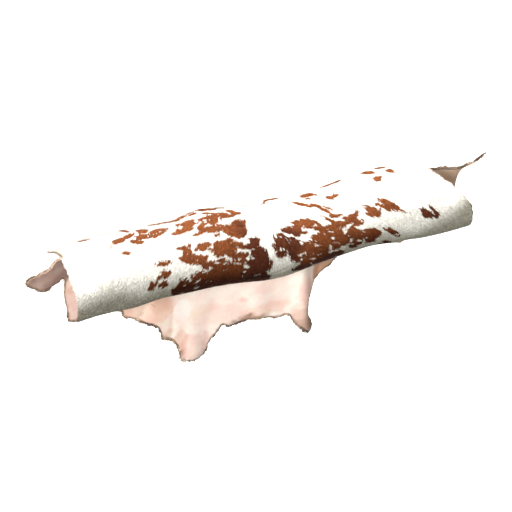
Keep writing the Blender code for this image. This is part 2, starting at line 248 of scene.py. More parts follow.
section = table(SECTION_COLUMNS, SECTIONS)
section_angles = np.arange(0, MOST_ANGLE, ANGLE_STEP)
middle_y = MIDDLE_HALF_DEPTH * winding(section_angles) * np.cos(np.radians(section_angles))
middle_z = MIDDLE_HALF_HEIGHT * winding(section_angles) * np.sin(np.radians(section_angles))
section_lengths = np.append(0, np.cumsum(np.hypot(np.diff(middle_y), np.diff(middle_z))))


def bare_drape(x, along):
    """Places on the middle of the sheet, before folds: straight behind, then round the hollow."""
    angle = np.interp(np.maximum(along, 0), section_lengths, section_angles)
    kept, turn = winding(angle), np.radians(angle)
    y = through(section["x"], section["half_depth"], x) * kept * np.cos(turn)
    z = through(section["x"], section["half_height"], x) * kept * np.sin(turn) + np.minimum(along, 0)
    return np.stack([x, y, z + CENTRE_Z + through(section["x"], section["raised"], x)], axis=-1)


def bent_drape(x, along):
    """The drape with each front leg turned about its hinge line."""
    places = bare_drape(x, along)
    for side, root_x, turned_x, tip_x, hinge_along, turn, rise, back in LEGS:
        past_root = x * side - root_x
        near = eased((LEG_REACH - np.abs(along - hinge_along)) / LEG_FADE)
        angle = np.radians(turn) * near * eased(past_root / (turned_x - root_x))
        out = near * np.clip(past_root / (tip_x - root_x), 0, None) ** 2
        hinge = bare_drape(x, np.full_like(x, hinge_along))
        dy, dz = (places - hinge)[:, 1], (places - hinge)[:, 2]
        places[:, 1] = hinge[:, 1] + dy * np.cos(angle) + dz * np.sin(angle) + back * out
        places[:, 2] = hinge[:, 2] - dy * np.sin(angle) + dz * np.cos(angle) + rise * out
    return places


def fold_height(x, along):
    """How far the folds stand off the drape, towards the hair side."""
    height = np.zeros_like(x)
    for fold_x, fold_along, half_long, half_wide, turn, fold_rise in FOLDS + CREASES:
        turn = np.radians(turn)
        dx, ds = x - fold_x, along - fold_along
        far = (dx * np.cos(turn) + ds * np.sin(turn)) / half_long
        wide = (-dx * np.sin(turn) + ds * np.cos(turn)) / half_wide
        height += fold_rise * np.exp(-(far**2 + wide**2))
    return height


def hair_side(shape, x, along):
    """Three directions on a shape: out of its hair side, across and onward along the hide."""
    across = unit(shape(x + SLOPE_STEP, along) - shape(x - SLOPE_STEP, along))
    onward = unit(shape(x, along + SLOPE_STEP) - shape(x, along - SLOPE_STEP))
    return unit(np.cross(onward, across)), across, onward


def folded_drape(x, along):
    """The drape with its legs bent and its folds."""
    out = hair_side(bent_drape, x, along)[0]
    return bent_drape(x, along) + out * fold_height(x, along)[:, None]


def cut_line(step):
    """The outline as a smooth closed line of points about a step apart."""
    points = np.array(OUTLINE, float)
    before, after, later = (np.roll(points, k, axis=0) for k in (1, -1, -2))
    line = []
    for t in np.linspace(0, 1, CURVE_PARTS, endpoint=False):
        line.append(0.5 * (2 * points + (after - before) * t
                           + (2 * before - 5 * points + 4 * after - later) * t**2
                           + (3 * points - before - 3 * after + later) * t**3))
    dense = np.stack(line, axis=1).reshape(-1, points.shape[1])
    closed = np.vstack([dense, dense[:1]])
    lengths = np.append(0, np.cumsum(np.linalg.norm(np.diff(closed[:, :2], axis=0), axis=1)))
    at = np.linspace(0, lengths[-1], round(lengths[-1] / step), endpoint=False)
    return np.stack([np.interp(at, lengths, values) for values in closed.T], axis=1)


def inside(flat, line):
    """Which flat points lie inside a closed line."""
    starts, ends = line[:, :2], np.roll(line, -1, axis=0)[:, :2]
    climb = ends[:, 1] - starts[:, 1]
    slope = (ends[:, 0] - starts[:, 0]) / np.where(climb == 0, TINY, climb)
    found = np.zeros(len(flat), bool)
    for (x0, s0), s1, k in zip(starts, ends[:, 1], slope):
        spans = (s0 > flat[:, 1]) != (s1 > flat[:, 1])
        found ^= spans & (flat[:, 0] < x0 + (flat[:, 1] - s0) * k)
    return found


def from_cut(flat, line):
    """For flat points: distance inside the cut line, the outward way, and the edge's curl there."""
    starts, ends = line[:, :2], np.roll(line, -1, axis=0)[:, :2]
    runs, curls = ends - starts, line[:, 2]
    best = np.full(len(flat), np.inf)
    way, curl = np.zeros_like(flat), np.zeros(len(flat))
    for start, run, curl_here in zip(starts, runs, curls):
        share = np.clip(((flat - start) @ run) / (run @ run), 0, 1)
        gap = start + share[:, None] * run - flat
        distance = np.hypot(gap[:, 0], gap[:, 1])
        nearer = distance < best
        best[nearer], way[nearer], curl[nearer] = distance[nearer], gap[nearer], curl_here
    sign = np.where(inside(flat, line), 1.0, -1.0)
    return best * sign, unit(way) * sign[:, None], curl


# The drape is worked out once, on a net over the flat hide, with its cut edge curled.
smooth_line = cut_line(OUTLINE_STEP)
net_low = smooth_line[:, :2].min(axis=0) - NET_MARGIN
net_high = smooth_line[:, :2].max(axis=0) + NET_MARGIN
net_size = np.ceil((net_high - net_low) / NET_STEP).astype(int) + 1
net_x, net_along = np.meshgrid(*(net_low[k] + NET_STEP * np.arange(net_size[k]) for k in (0, 1)),
                               indexing="ij")
net = np.stack([net_x.ravel(), net_along.ravel()], axis=1)
net_depth, net_way, net_curl = from_cut(net, smooth_line)
net_out, net_across, net_onward = hair_side(folded_drape, net[:, 0], net[:, 1])
net_place = folded_drape(net[:, 0], net[:, 1])
run = np.clip(CURL_BAND - net_depth, 0, None)
radius = CURL_BAND / np.maximum(np.radians(np.abs(net_curl)), LEAST_CURL)
outward = unit(net_across * net_way[:, :1] + net_onward * net_way[:, 1:])
net_place += (radius * np.sin(run / radius) - run)[:, None] * outward
net_place -= (np.sign(net_curl) * radius * (1 - np.cos(run / radius)))[:, None] * net_out
net_place = net_place.reshape(*net_size, 3)
slope_x, slope_along = (unit(np.gradient(net_place, NET_STEP, axis=k)) for k in (0, 1))
net_out = unit(np.cross(slope_along, slope_x))
net_depth = net_depth.reshape(net_size)


def read_net(values, flat):
    """Values worked out on the net, read at flat points between its knots."""
    at = np.clip((flat - net_low) / NET_STEP, 0, net_size - NET_LAST)
    i, j = at.astype(int).T
    a, b = (at - at.astype(int)).T
    if values.ndim == 3:
        a, b = a[:, None], b[:, None]
    low = values[i, j] * (1 - a) + values[i + 1, j] * a
    return low * (1 - b) + (values[i, j + 1] * (1 - a) + values[i + 1, j + 1] * a) * b


def placed(flat, height):
    """Flat points laid on the drape, at heights out of its hair side."""
    return read_net(net_place, flat) + unit(read_net(net_out, flat)) * height[:, None]


def knife_line():
    """The cut line as the knife really went, a little ragged."""
    line = cut_line(CUT_STEP)
    way = (np.roll(line, -1, axis=0) - np.roll(line, 1, axis=0))[:, :2]
    sideways = unit(crosswise(way))
    line[:, :2] += EDGE_INSET * sideways
    for seed, (size, amount) in enumerate(KNIFE_WANDER):
        line[:, :2] += sideways * (amount * wander(line, size, KNIFE_SEED + seed))[:, None]
    return line


def filled(line, steps):
    """Flat points and triangles that fill a closed line, in bands along the hide with their steps."""
    points = [line[:, :2]]
    low, high = line[:, :2].min(axis=0), line[:, :2].max(axis=0)
    for start, end, step in steps:
        x, along = np.meshgrid(np.arange(low[0], high[0], step),
                               np.arange(max(start, low[1]), min(end, high[1]), step * ROW_SHARE))
        x[1::2] += step / 2
        grid = np.stack([x.ravel(), along.ravel()], axis=1)
        points.append(grid[read_net(net_depth, grid) > CUT_CLEAR])
    flat = np.vstack(points)
    edges = [(i, (i + 1) % len(line)) for i in range(len(line))]
    found = geometry.delaunay_2d_cdt([Vector(point) for point in flat], edges, [], 0, MERGE_REACH)
    flat = np.array([tuple(point) for point in found[0]])
    faces = np.array(found[2])
    return flat, faces[inside(flat[faces].mean(axis=1), line)]


def number_points(mesh, name, numbers):
    """Numbers on a mesh's points, for its material to read."""
    mesh.attributes.new(name, "FLOAT", "POINT").data.foreach_set("value", numbers.astype(np.float32))


def new_piece(name, points, faces, maps, values):
    """A mesh object with uv maps and numbers on its points."""
    mesh = bpy.data.meshes.new(name)
    mesh.from_pydata(points.tolist(), [], faces.tolist())
    corners = faces.ravel()
    for map_name, uv in maps.items():
        mesh.uv_layers.new(name=map_name).data.foreach_set("uv", uv[corners].astype(np.float32).ravel())
    for value_name, numbers in values.items():
        number_points(mesh, value_name, numbers)
    piece = bpy.data.objects.new(name, mesh)
    bpy.context.scene.collection.objects.link(piece)
    return piece


cut = knife_line()
flat, faces = filled(cut, ((-FAR, SHOWN_TO, FLESH_STEP), (SHOWN_TO, FAR, WOUND_STEP)))
count = len(flat)
skin_points = np.vstack([placed(flat, np.full(count, height)) for height in LEATHER])
rim = []
for face in faces.tolist():
    for a, b in zip(face, face[1:] + face[:1]):
        if max(a, b) < len(cut) and (b - a) % len(cut) in (1, len(cut) - 1):
            rim += [(a, b, a + count), (b, b + count, a + count)]
skin_faces = np.vstack([faces[:, ::-1], faces + count, np.array(rim)])

# Stains on the flesh side, with painted shade and a painted highlight where its folds, lobes and legs
# turn to or from the light, painted one over the other: x, along, half long, half wide in mm, turn,
# share and colour.
TINTS = (
    # Painted shade: the next four rows darken the left of the flap, which turns away from the light under
    # the roll.
    (-480, -340, 180, 75, 0, 0.75, "#F6D2BE"), (-375, -325, 55, 40, 0, 0.40, "#DFB79C"),
    (-370, -440, 80, 50, 20, 0.20, "#F0CFB6"), (-345, -475, 40, 20, 20, 0.45, "#D9B79C"),
    (-170, -400, 70, 30, 10, 0.45, "#F8DCC6"), (40, -371, 22, 14, 0, 0.55, "#F2B4AE"),
    # (-262, -380) is a painted highlight, near white, where the flap faces the light.
    (180, -340, 80, 30, 0, 0.35, "#F6D6CC"), (-262, -380, 42, 52, 0, 0.90, "#FFFFFA"),
    # (-276, -540), (-292, -530) and (-150, -570) are painted shade on the sides of the round lower lobe.
    (-225, -590, 75, 85, 0, 0.45, "#F3CDC2"), (-276, -540, 70, 30, 90, 0.55, "#DDB2A4"),
    (-150, -570, 58, 22, 90, 0.45, "#DDB8AC"), (-292, -530, 60, 20, 90, 0.45, "#E0BBAA"),
    (-60, -430, 150, 50, 8, 0.35, "#F8D6CC"), (150, -450, 130, 30, 0, 0.50, "#EFC6B6"),
    (-22, -487, 52, 15, 15, 0.80, "#9C8070"), (57, -462, 46, 18, 0, 0.80, "#A38672"),
    (138, -474, 60, 13, 0, 0.80, "#A27C5A"), (77, -452, 13, 13, 0, 0.45, "#A8897A"),
    # The rows from here to (338, -572) are painted shade on the narrow lobe: its turned right side and
    # curled tip.
    (342, -592, 30, 26, 0, 0.75, "#A39284"), (388, -575, 16, 50, 0, 0.75, "#8A6F5B"),
    (362, -430, 130, 34, 90, 0.60, "#EBC6B8"), (332, -530, 90, 52, 90, 0.50, "#DDBBAE"),
    (335, -548, 64, 52, 90, 0.50, "#C9A697"), (338, -572, 50, 42, 0, 0.50, "#B39080"),
    # (470, -360) is painted shade, tan, on the part right of the narrow lobe, which turns away from the
    # light.
    (470, -360, 66, 75, 0, 0.95, "#D0A285"), (-810, -200, 75, 130, 0, 0.70, "#F0CFC6"),
    # (-815, -145) is painted shade at the top of the inner strip, under the roll.
    (-815, -145, 45, 12, 0, 0.50, "#DDB49A"), (-800, -300, 50, 12, 0, 0.80, "#94796A"),
    # The next three rows are painted shade on the left front leg's flesh side, in the roll's shade: a
    # lighter middle and a darker tip.
    (-935, -45, 135, 90, 0, 0.97, "#86716A"), (-940, -50, 75, 22, 10, 0.60, "#A8948C"),
    (-1000, -50, 30, 50, 0, 0.45, "#75605A"), (1080, -20, 200, 115, 0, 0.90, "#FCE0C0"),
    (1200, -70, 70, 40, 0, 0.85, "#FFECE8"), (1105, 52, 105, 14, -18, 0.90, "#FFEDE6"),
    (985, 20, 60, 70, 0, 0.60, "#E3C0AE"),
)
TINT_SOFT = 0.020                                 # how far a stain fades out
TINT_WANDER = ((0.030, 0.008), (0.012, 0.004))    # how far its edge strays, over each length
TINT_SEED = 21
PLAIN_FLESH = "#FEF4EC"
DRIED_RIM = "#8C7262"
RIM_WIDE = 0.005                                  # the rim is dried and darker over this width
RIM_SHARE = 0.5
RIM_UNEVEN = 0.4                                  # the share of a stain's straying that the rim keeps
MM_IN_METRE = 1000
PATCH_REACH = 0.03                                # a patch's softest edge is looked for this far out


def colour(code):
    """An sRGB hex colour as the linear numbers of a shader, by the formula of the sRGB standard."""
    parts = [int(code[i:i + 2], 16) / 255 for i in (1, 3, 5)]
    return tuple(c / 12.92 if c <= 0.04045 else ((c + 0.055) / 1.055) ** 2.4 for c in parts) + (1,)


def patch_depth(flat, rows):
    """How far inside the nearest of a table's ellipses each flat point lies, below 0 outside."""
    depth = np.full(len(flat), -1.0)
    for *sizes, turn in rows:
        patch_x, patch_along, half_long, half_wide = (size / MM_IN_METRE for size in sizes)
        reach = half_long + PATCH_REACH
        near = np.flatnonzero((np.abs(flat[:, 0] - patch_x) < reach)
                              & (np.abs(flat[:, 1] - patch_along) < reach))
        turn = np.radians(turn)
        dx, ds = flat[near, 0] - patch_x, flat[near, 1] - patch_along
        u = dx * np.cos(turn) + ds * np.sin(turn)
        v = -dx * np.sin(turn) + ds * np.cos(turn)
        size = np.hypot(u / half_long, v / half_wide)
        slope = np.hypot(u / half_long**2, v / half_wide**2)
        inward = (1 - size) * np.minimum(size / np.maximum(slope, TINY), half_wide)
        depth[near] = np.maximum(depth[near], inward)
    return depth


def flesh_colour(flat):
    """The colour of the flesh side: the stains, painted shade and highlight over each other, then the dried
    rim.
    """
    painted = np.tile(colour(PLAIN_FLESH), (len(flat), 1))
    uneven = strayed(flat, TINT_WANDER, TINT_SEED)
    for *ellipse, share, code in TINTS:
        weight = share * past(patch_depth(flat, [ellipse]) + uneven, TINT_SOFT)
        painted += weight[:, None] * (np.array(colour(code)) - painted)
    edge = read_net(net_depth, flat) + RIM_UNEVEN * uneven
    weight = RIM_SHARE * eased(1 - (edge - EDGE_INSET) / RIM_WIDE)
    return painted + weight[:, None] * (np.array(colour(DRIED_RIM)) - painted)


def bake_map(flat, low, high):
    """A uv map that spreads the flat hide over a part of the unit square, from a low to a high share."""
    share = (flat - net_low) / (net_high - net_low)
    return np.array(low) + share * (np.array(high) - low)


FLESH_BAKE = ((0.01, 0.01), (0.49, 0.99))
GRAIN_BAKE = ((0.51, 0.01), (0.99, 0.99))
skin_maps = {"flat": np.vstack([flat, flat]),
             "OFBake": np.vstack([bake_map(flat, *FLESH_BAKE), bake_map(flat, *GRAIN_BAKE)])}
skin = new_piece("hide_skin", skin_points, skin_faces, skin_maps, {})
skin.data.shade_smooth()
slots = np.repeat((0, 1, 2), (len(faces), len(faces), len(rim)))
skin.data.polygons.foreach_set("material_index", slots.astype(np.int32))
painted = skin.data.color_attributes.new("flesh_tint", "FLOAT_COLOR", "POINT")
painted.data.foreach_set("color", np.vstack([flesh_colour(flat)] * 2).astype(np.float32).ravel())


def new_material(name, roughness):
    """An empty node material of an even roughness, its tree and its shader."""
    material = bpy.data.materials.new(name)
    material.use_nodes = True
    tree = material.node_tree
    shader = tree.nodes["Principled BSDF"]
    shader.inputs["Roughness"].default_value = roughness
    return material, tree, shader


def add(tree, kind, settings=None, links=None, stops=()):
    """A new node with its settings, the sockets that feed it, and a ramp's stops, its two ends first."""
    node = tree.nodes.new("ShaderNode" + kind)
    for key, value in (settings or {}).items():
        if isinstance(key, str) and hasattr(node, key):
            setattr(node, key, value)
        else:
            node.inputs[key].default_value = value
    for key, socket in (links or {}).items():
        tree.links.new(socket, node.inputs[key])
    for index, (place, code) in enumerate(stops):
        ramp = node.color_ramp.elements
        stop = ramp[index] if index < 2 else ramp.new(place)
        stop.position, stop.color = place, colour(code)
    return node


# Suede flesh side of chrome-tanned cattle leather, split and buffed. It is matt and pale, with faint pink
# and cream clouds, a fine nap, the stains, painted shade and painted highlight of the table, and a few
# small marks.
FIRST, SECOND, MIXED = 6, 7, 2      # the colour sockets of a Mix node: two go in, and one comes out
CLOUD_MM, BLOTCH_MM, NAP_MM = 90.9, 18.18, 1.923
CLOUD_STOPS = ((0.36, "#F8DDD4"), (0.66, "#FFFBF0"))
BLOTCH_STOPS = ((0.30, "#F3DDD2"), (0.58, "#FFFFFF"))
CLOUD_SHARE, BLOTCH_SHARE = 0.6, 0.22
NAP_HEIGHT = 0.001
# Small marks: a ring left by a wart, a scar of two strokes and the pores beside it. The columns are x,
# along, inner, outer and share.
MARKS = (
    (0.077, -0.452, 0.0050, 0.0090, 0.55), (-0.420, -0.308, 0.0000, 0.0035, 0.70),
    (-0.414, -0.314, 0.0000, 0.0035, 0.75), (-0.409, -0.320, 0.0000, 0.0028, 0.55),
    (-0.340, -0.290, 0.0000, 0.0060, 0.30), (-0.468, -0.344, 0.0060, 0.0110, 0.25),
    (-0.244, -0.612, 0.0000, 0.0040, 0.30), (0.300, -0.515, 0.0000, 0.0030, 0.40),
)
MARK_COLOUR = "#8A6A5C"
suede, tree, shader = new_material("suede_flesh_side", roughness=0.85)
flat_map = add(tree, "UVMap", {"uv_map": "flat"}).outputs[0]
clouds = add(tree, "TexNoise", {"Scale": MM_IN_METRE / CLOUD_MM, "Detail": 3.0, "Roughness": 0.5},
             {"Vector": flat_map})
blotches = add(tree, "TexNoise", {"Scale": MM_IN_METRE / BLOTCH_MM, "Detail": 4.0, "Roughness": 0.6},
               {"Vector": flat_map})
nap = add(tree, "TexNoise", {"Scale": MM_IN_METRE / NAP_MM, "Detail": 3.0}, {"Vector": flat_map})
# The flesh tint: the stains, with painted shade and a painted highlight.
shade = add(tree, "Attribute", {"attribute_name": "flesh_tint"}).outputs["Color"]
for noise, stops, share in ((clouds, CLOUD_STOPS, CLOUD_SHARE), (blotches, BLOTCH_STOPS, BLOTCH_SHARE)):
    layer = add(tree, "ValToRGB", links={"Fac": noise.outputs["Fac"]}, stops=stops)
    shade = add(tree, "Mix", {"data_type": "RGBA", "blend_type": "MULTIPLY", "Factor": share},
                {FIRST: shade, SECOND: layer.outputs["Color"]}).outputs[MIXED]
for mark_x, mark_along, inner, outer, share in MARKS:
    distance = add(tree, "VectorMath", {"operation": "DISTANCE", 1: (mark_x, mark_along, 0)},
                   {0: flat_map}).outputs["Value"]
    disc = add(tree, "MapRange", {"From Min": outer, "From Max": (inner + outer) / 2, "To Max": share},
               {"Value": distance})
    hole = add(tree, "MapRange", {"From Min": 0.0, "From Max": max(inner, TINY)}, {"Value": distance})
    ring = add(tree, "Math", {"operation": "MULTIPLY"},
               {0: disc.outputs["Result"], 1: hole.outputs["Result"]})
    shade = add(tree, "Mix", {"data_type": "RGBA", SECOND: colour(MARK_COLOUR)},
                {"Factor": ring.outputs[0], FIRST: shade}).outputs[MIXED]
tree.links.new(shade, shader.inputs["Base Color"])
nap_bump = add(tree, "Bump", {"Strength": 0.3, "Distance": NAP_HEIGHT}, {"Height": nap.outputs["Fac"]})
tree.links.new(nap_bump.outputs["Normal"], shader.inputs["Normal"])
shader.inputs["Specular IOR Level"].default_value = 0.25
skin.data.materials.append(suede)

# The grain side shows only as the ground between the hairs: cream under white hair, dark brown under
# red-brown hair, with fine pores. It gives the coat its depth between the locks.
PORE_MM = 1.667
PORE_STOPS = ((0.35, "#BDB5A4"), (0.60, "#DAD4C6"))
BROWN_GROUND = "#5A3019"
grain, tree, shader = new_material("grain_under_hair", roughness=0.8)
brown_there = add(tree, "Attribute", {"attribute_name": "brown"}).outputs["Fac"]
flat_map = add(tree, "UVMap", {"uv_map": "flat"}).outputs[0]
pores = add(tree, "TexNoise", {"Scale": MM_IN_METRE / PORE_MM, "Detail": 2.0}, {"Vector": flat_map})
pale = add(tree, "ValToRGB", links={"Fac": pores.outputs["Fac"]}, stops=PORE_STOPS)
ground = add(tree, "Mix", {"data_type": "RGBA", SECOND: colour(BROWN_GROUND)},
             {"Factor": brown_there, FIRST: pale.outputs["Color"]})
tree.links.new(ground.outputs[MIXED], shader.inputs["Base Color"])
skin.data.materials.append(grain)

# The knife-cut edge: raw tan leather core, a little darker where it dried, so that the rim reads as a
# thin warm line.
DRIED_MM = 16.67
DRIED_STOPS = ((0.35, "#8A6E58"), (0.65, "#C2A488"))
cut_edge, tree, shader = new_material("raw_cut_edge", roughness=0.9)
flat_map = add(tree, "UVMap", {"uv_map": "flat"}).outputs[0]
dried = add(tree, "TexNoise", {"Scale": MM_IN_METRE / DRIED_MM, "Detail": 3.0}, {"Vector": flat_map})
edge_tan = add(tree, "ValToRGB", links={"Fac": dried.outputs["Fac"]}, stops=DRIED_STOPS)
tree.links.new(edge_tan.outputs["Color"], shader.inputs["Base Color"])
skin.data.materials.append(cut_edge)
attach(skin, "root")
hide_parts("hide")


# The coat. Short laid hair, 10 to 15 mm long, growing from the grain side towards the rump and away
# from the spine. It lies in small locks that catch the light one by one. The hairs are drawn as
# tapered blades as wide as a few hairs, because a single hair is too fine to show.

# The blades. Their roots keep clear of the cut, and a blade is drawn towards the middle of its lock.
BLADE_LENGTH = (0.010, 0.015)
BLADE_HALF_WIDTH = (0.0010, 0.0015)     # where the blades stand at the usual spacing
USUAL_SPACING = 0.0031
ROOT_CLEAR = 0.001
ROOT_SHARE = 0.4                # blades start just over the grain side, at this share of its height
KNEE_PLACE = 0.5                # the share of a blade's length where it bends
KNEE_HEIGHT = 0.75              # and its share of the tip's height there
BLADE_TILT = 0.0006
COLOUR_PLACE = 0.65             # the share of a blade's length whose place gives its colour
LIFT = 0.0024                   # the tip's height, with its usual change from lock to lock
LOCK_LIFT = 0.0010
BLADE_LIFT = 0.0003             # and from blade to blade
PRESSED_AT = 0.20               # over the top of the roll the coat lies flatter: the place along,
PRESSED_WIDE = 0.12             # how far it reaches and the share of its height that it loses
PRESSED_SHARE = 0.7
LOCK_TONE, BLADE_TONE = 0.75, 0.25      # how much lighter or darker a lock is, and a blade in it
BLADE_TRIANGLES = ((0, 2, 1), (1, 2, 3), (2, 4, 3))
BLADE_BAKE = ((0.01, 0.01), (0.99, 0.99))

# The locks and the way of the hair. Angles are in degrees from the hide's length.
LOCK_SIZE = (0.0046, 0.0085)    # across and along the hair
LOCK_JITTER = (0.1, 0.9)        # where a lock's middle lies in its place, as shares
LOCK_SEED = 3
LOCK_PULL = 0.45                # how far a tip is drawn to its lock's middle
LOCK_TURN = 14                  # how much the way changes from lock to lock,
BLADE_TURN = 7                  # from blade to blade
SWIRL_TURN = 12                 # and slowly over the hide
SWIRL_SIZE = 0.05
SWIRL_SEED = 5
SPINE_LEAN = 42                 # the hair leans outward by this much, away from the spine
SPINE_HALF = 0.12               # and comes to it over this distance

# How ragged the spots' edges are. Streaks and wanders are pairs of a size and an amount.
SPOT_SPREAD = 0.0022            # the long hairs carry a spot's colour this far past its roots
GAP_CLOSE = 0.0010              # and close its white gaps by this much
STREAKS = ((0.006, 0.0020), (0.003, 0.0013))
STREAK_STRETCH = 3.0            # streaks are this much longer than wide
STREAK_WAY = 0.55               # and run outward from the spine by this, in radians
STREAK_SEED = 11
UNSEEN_WANDER = ((0.045, 0.020), (0.018, 0.012))
UNSEEN_SEED = 15
EDGE_CHANCE = 0.0012            # single hairs cross a spot's edge by about this much

# The red-brown spots, each an ellipse on the flat hide: x, along, half long, half wide in mm, and turn.
SPOTS = (
    (-689, 318, 36, 17, 161), (-636, 299, 39, 14, 159), (-724, 334, 16, 4, 142), (-620, 232, 32, 10, 78),
    (-613, 269, 14, 5, 96), (-562, 285, 27, 22, 169), (-584, 330, 27, 16, 29), (-629, 349, 21, 13, 14),
    (-610, 362, 18, 10, 176), (-512, 309, 36, 14, 160), (-474, 309, 23, 9, 178), (-505, 335, 38, 8, 161),
    (-368, 319, 44, 20, 167), (-389, 313, 21, 9, 14), (-392, 345, 45, 19, 171), (-434, 357, 20, 10, 6),
    (-346, 333, 21, 8, 13), (-270, 327, 36, 13, 165), (-242, 342, 42, 21, 126), (-231, 301, 26, 11, 18),
    (-187, 327, 27, 21, 2), (-165, 340, 19, 8, 177), (-139, 303, 23, 15, 60), (-126, 323, 21, 12, 0),
    (-219, 355, 8, 5, 139), (-296, 338, 17, 6, 174), (-307, 359, 20, 9, 1), (-325, 374, 17, 15, 123),
    (-310, 392, 37, 12, 176), (-353, 400, 22, 6, 4), (-270, 399, 33, 17, 12), (-276, 433, 12, 5, 14),
    (-151, 395, 38, 26, 161), (-166, 436, 37, 27, 154), (-211, 417, 32, 23, 168), (-135, 408, 38, 15, 119),
    (-444, 441, 25, 9, 3), (-413, 441, 10, 9, 145), (-432, 462, 20, 14, 21), (-353, 460, 30, 13, 179),
    (-331, 458, 11, 7, 16), (-386, 465, 10, 4, 179), (-457, 486, 18, 8, 11), (-420, 491, 28, 14, 24),
    (-383, 514, 28, 21, 7), (-435, 508, 23, 8, 33), (-359, 506, 11, 9, 20), (-696, 402, 16, 8, 8),
    (-560, 487, 31, 9, 1), (-555, 535, 23, 16, 14), (-590, 548, 14, 7, 159), (-622, 575, 25, 15, 117),
    (-573, 582, 25, 13, 146), (-266, 493, 53, 29, 17), (-232, 467, 19, 9, 5), (-291, 515, 18, 16, 166),
    (-239, 522, 27, 18, 30), (-322, 493, 9, 7, 14), (-187, 491, 19, 8, 12), (-176, 503, 24, 8, 5),
    (-147, 506, 17, 8, 4), (-116, 493, 26, 20, 132), (-193, 540, 34, 13, 2), (-214, 551, 20, 9, 6),
    (-101, 546, 36, 34, 104), (-111, 596, 61, 40, 36), (-195, 624, 83, 53, 36), (-285, 611, 75, 53, 31),
    (-346, 552, 36, 18, 11), (-288, 551, 31, 12, 6), (-394, 595, 37, 32, 25), (-345, 632, 52, 43, 26),
    (-422, 633, 34, 29, 151), (-475, 603, 29, 23, 87), (-497, 640, 28, 23, 163), (-216, 681, 114, 33, 17),
    (-124, 648, 53, 32, 44), (12, 494, 33, 24, 47), (-16, 517, 18, 9, 48), (3, 552, 21, 17, 17),
    (28, 553, 13, 11, 28), (81, 460, 46, 13, 12), (134, 483, 18, 6, 14), (119, 447, 31, 19, 158),
    (170, 443, 37, 14, 18), (203, 462, 27, 14, 45), (224, 487, 38, 9, 29), (150, 466, 17, 4, 18),
    (66, 495, 20, 7, 19), (103, 492, 11, 5, 24), (81, 522, 32, 18, 13), (145, 536, 31, 13, 2),
    (101, 565, 66, 29, 13), (89, 600, 39, 20, 36), (150, 636, 44, 31, 39), (112, 672, 43, 22, 34),
    (203, 527, 41, 22, 18), (188, 574, 60, 21, 21), (278, 539, 52, 29, 20), (261, 499, 49, 14, 5),
    (305, 489, 49, 14, 5), (271, 457, 28, 7, 39), (384, 478, 29, 15, 177), (347, 473, 14, 8, 13),
    (313, 450, 24, 7, 2), (393, 504, 19, 17, 172), (422, 511, 12, 9, 26), (369, 521, 23, 10, 157),
    (330, 535, 36, 19, 18), (390, 560, 41, 19, 23), (470, 593, 54, 26, 32), (464, 629, 38, 12, 37),
    (333, 576, 50, 18, 21), (282, 592, 30, 14, 29), (372, 610, 37, 13, 27), (396, 598, 30, 14, 30),
    (230, 619, 65, 27, 15), (308, 655, 46, 22, 42), (260, 272, 35, 22, 170), (292, 287, 13, 8, 27),
    (244, 307, 11, 6, 23), (339, 338, 18, 11, 20), (359, 338, 23, 10, 160), (198, 342, 30, 12, 36),
    (250, 368, 20, 9, 33), (176, 319, 14, 7, 56), (275, 406, 27, 9, 50), (296, 400, 16, 5, 52),
    (79, 219, 38, 11, 137), (113, 220, 27, 17, 9), (424, 203, 55, 18, 174), (677, 208, 34, 25, 144),
    (593, 242, 34, 20, 62), (681, 288, 20, 16, 92), (591, 324, 21, 18, 126), (490, 487, 36, 19, 44),
    (467, 455, 19, 7, 31), (574, 479, 54, 16, 44), (518, 461, 12, 7, 18), (623, 521, 25, 5, 28),
    (744, 547, 33, 18, 33), (786, 547, 29, 9, 60), (572, 614, 56, 11, 38), (590, 726, 64, 14, 29),
    (-808, 230, 24, 9, 23), (-475, 239, 30, 8, 17), (-430, 247, 26, 8, 24), (-389, 260, 26, 11, 8),
    (-336, 243, 41, 8, 166), (-305, 258, 20, 9, 168), (-226, 238, 43, 21, 24), (-169, 243, 22, 10, 16),
)
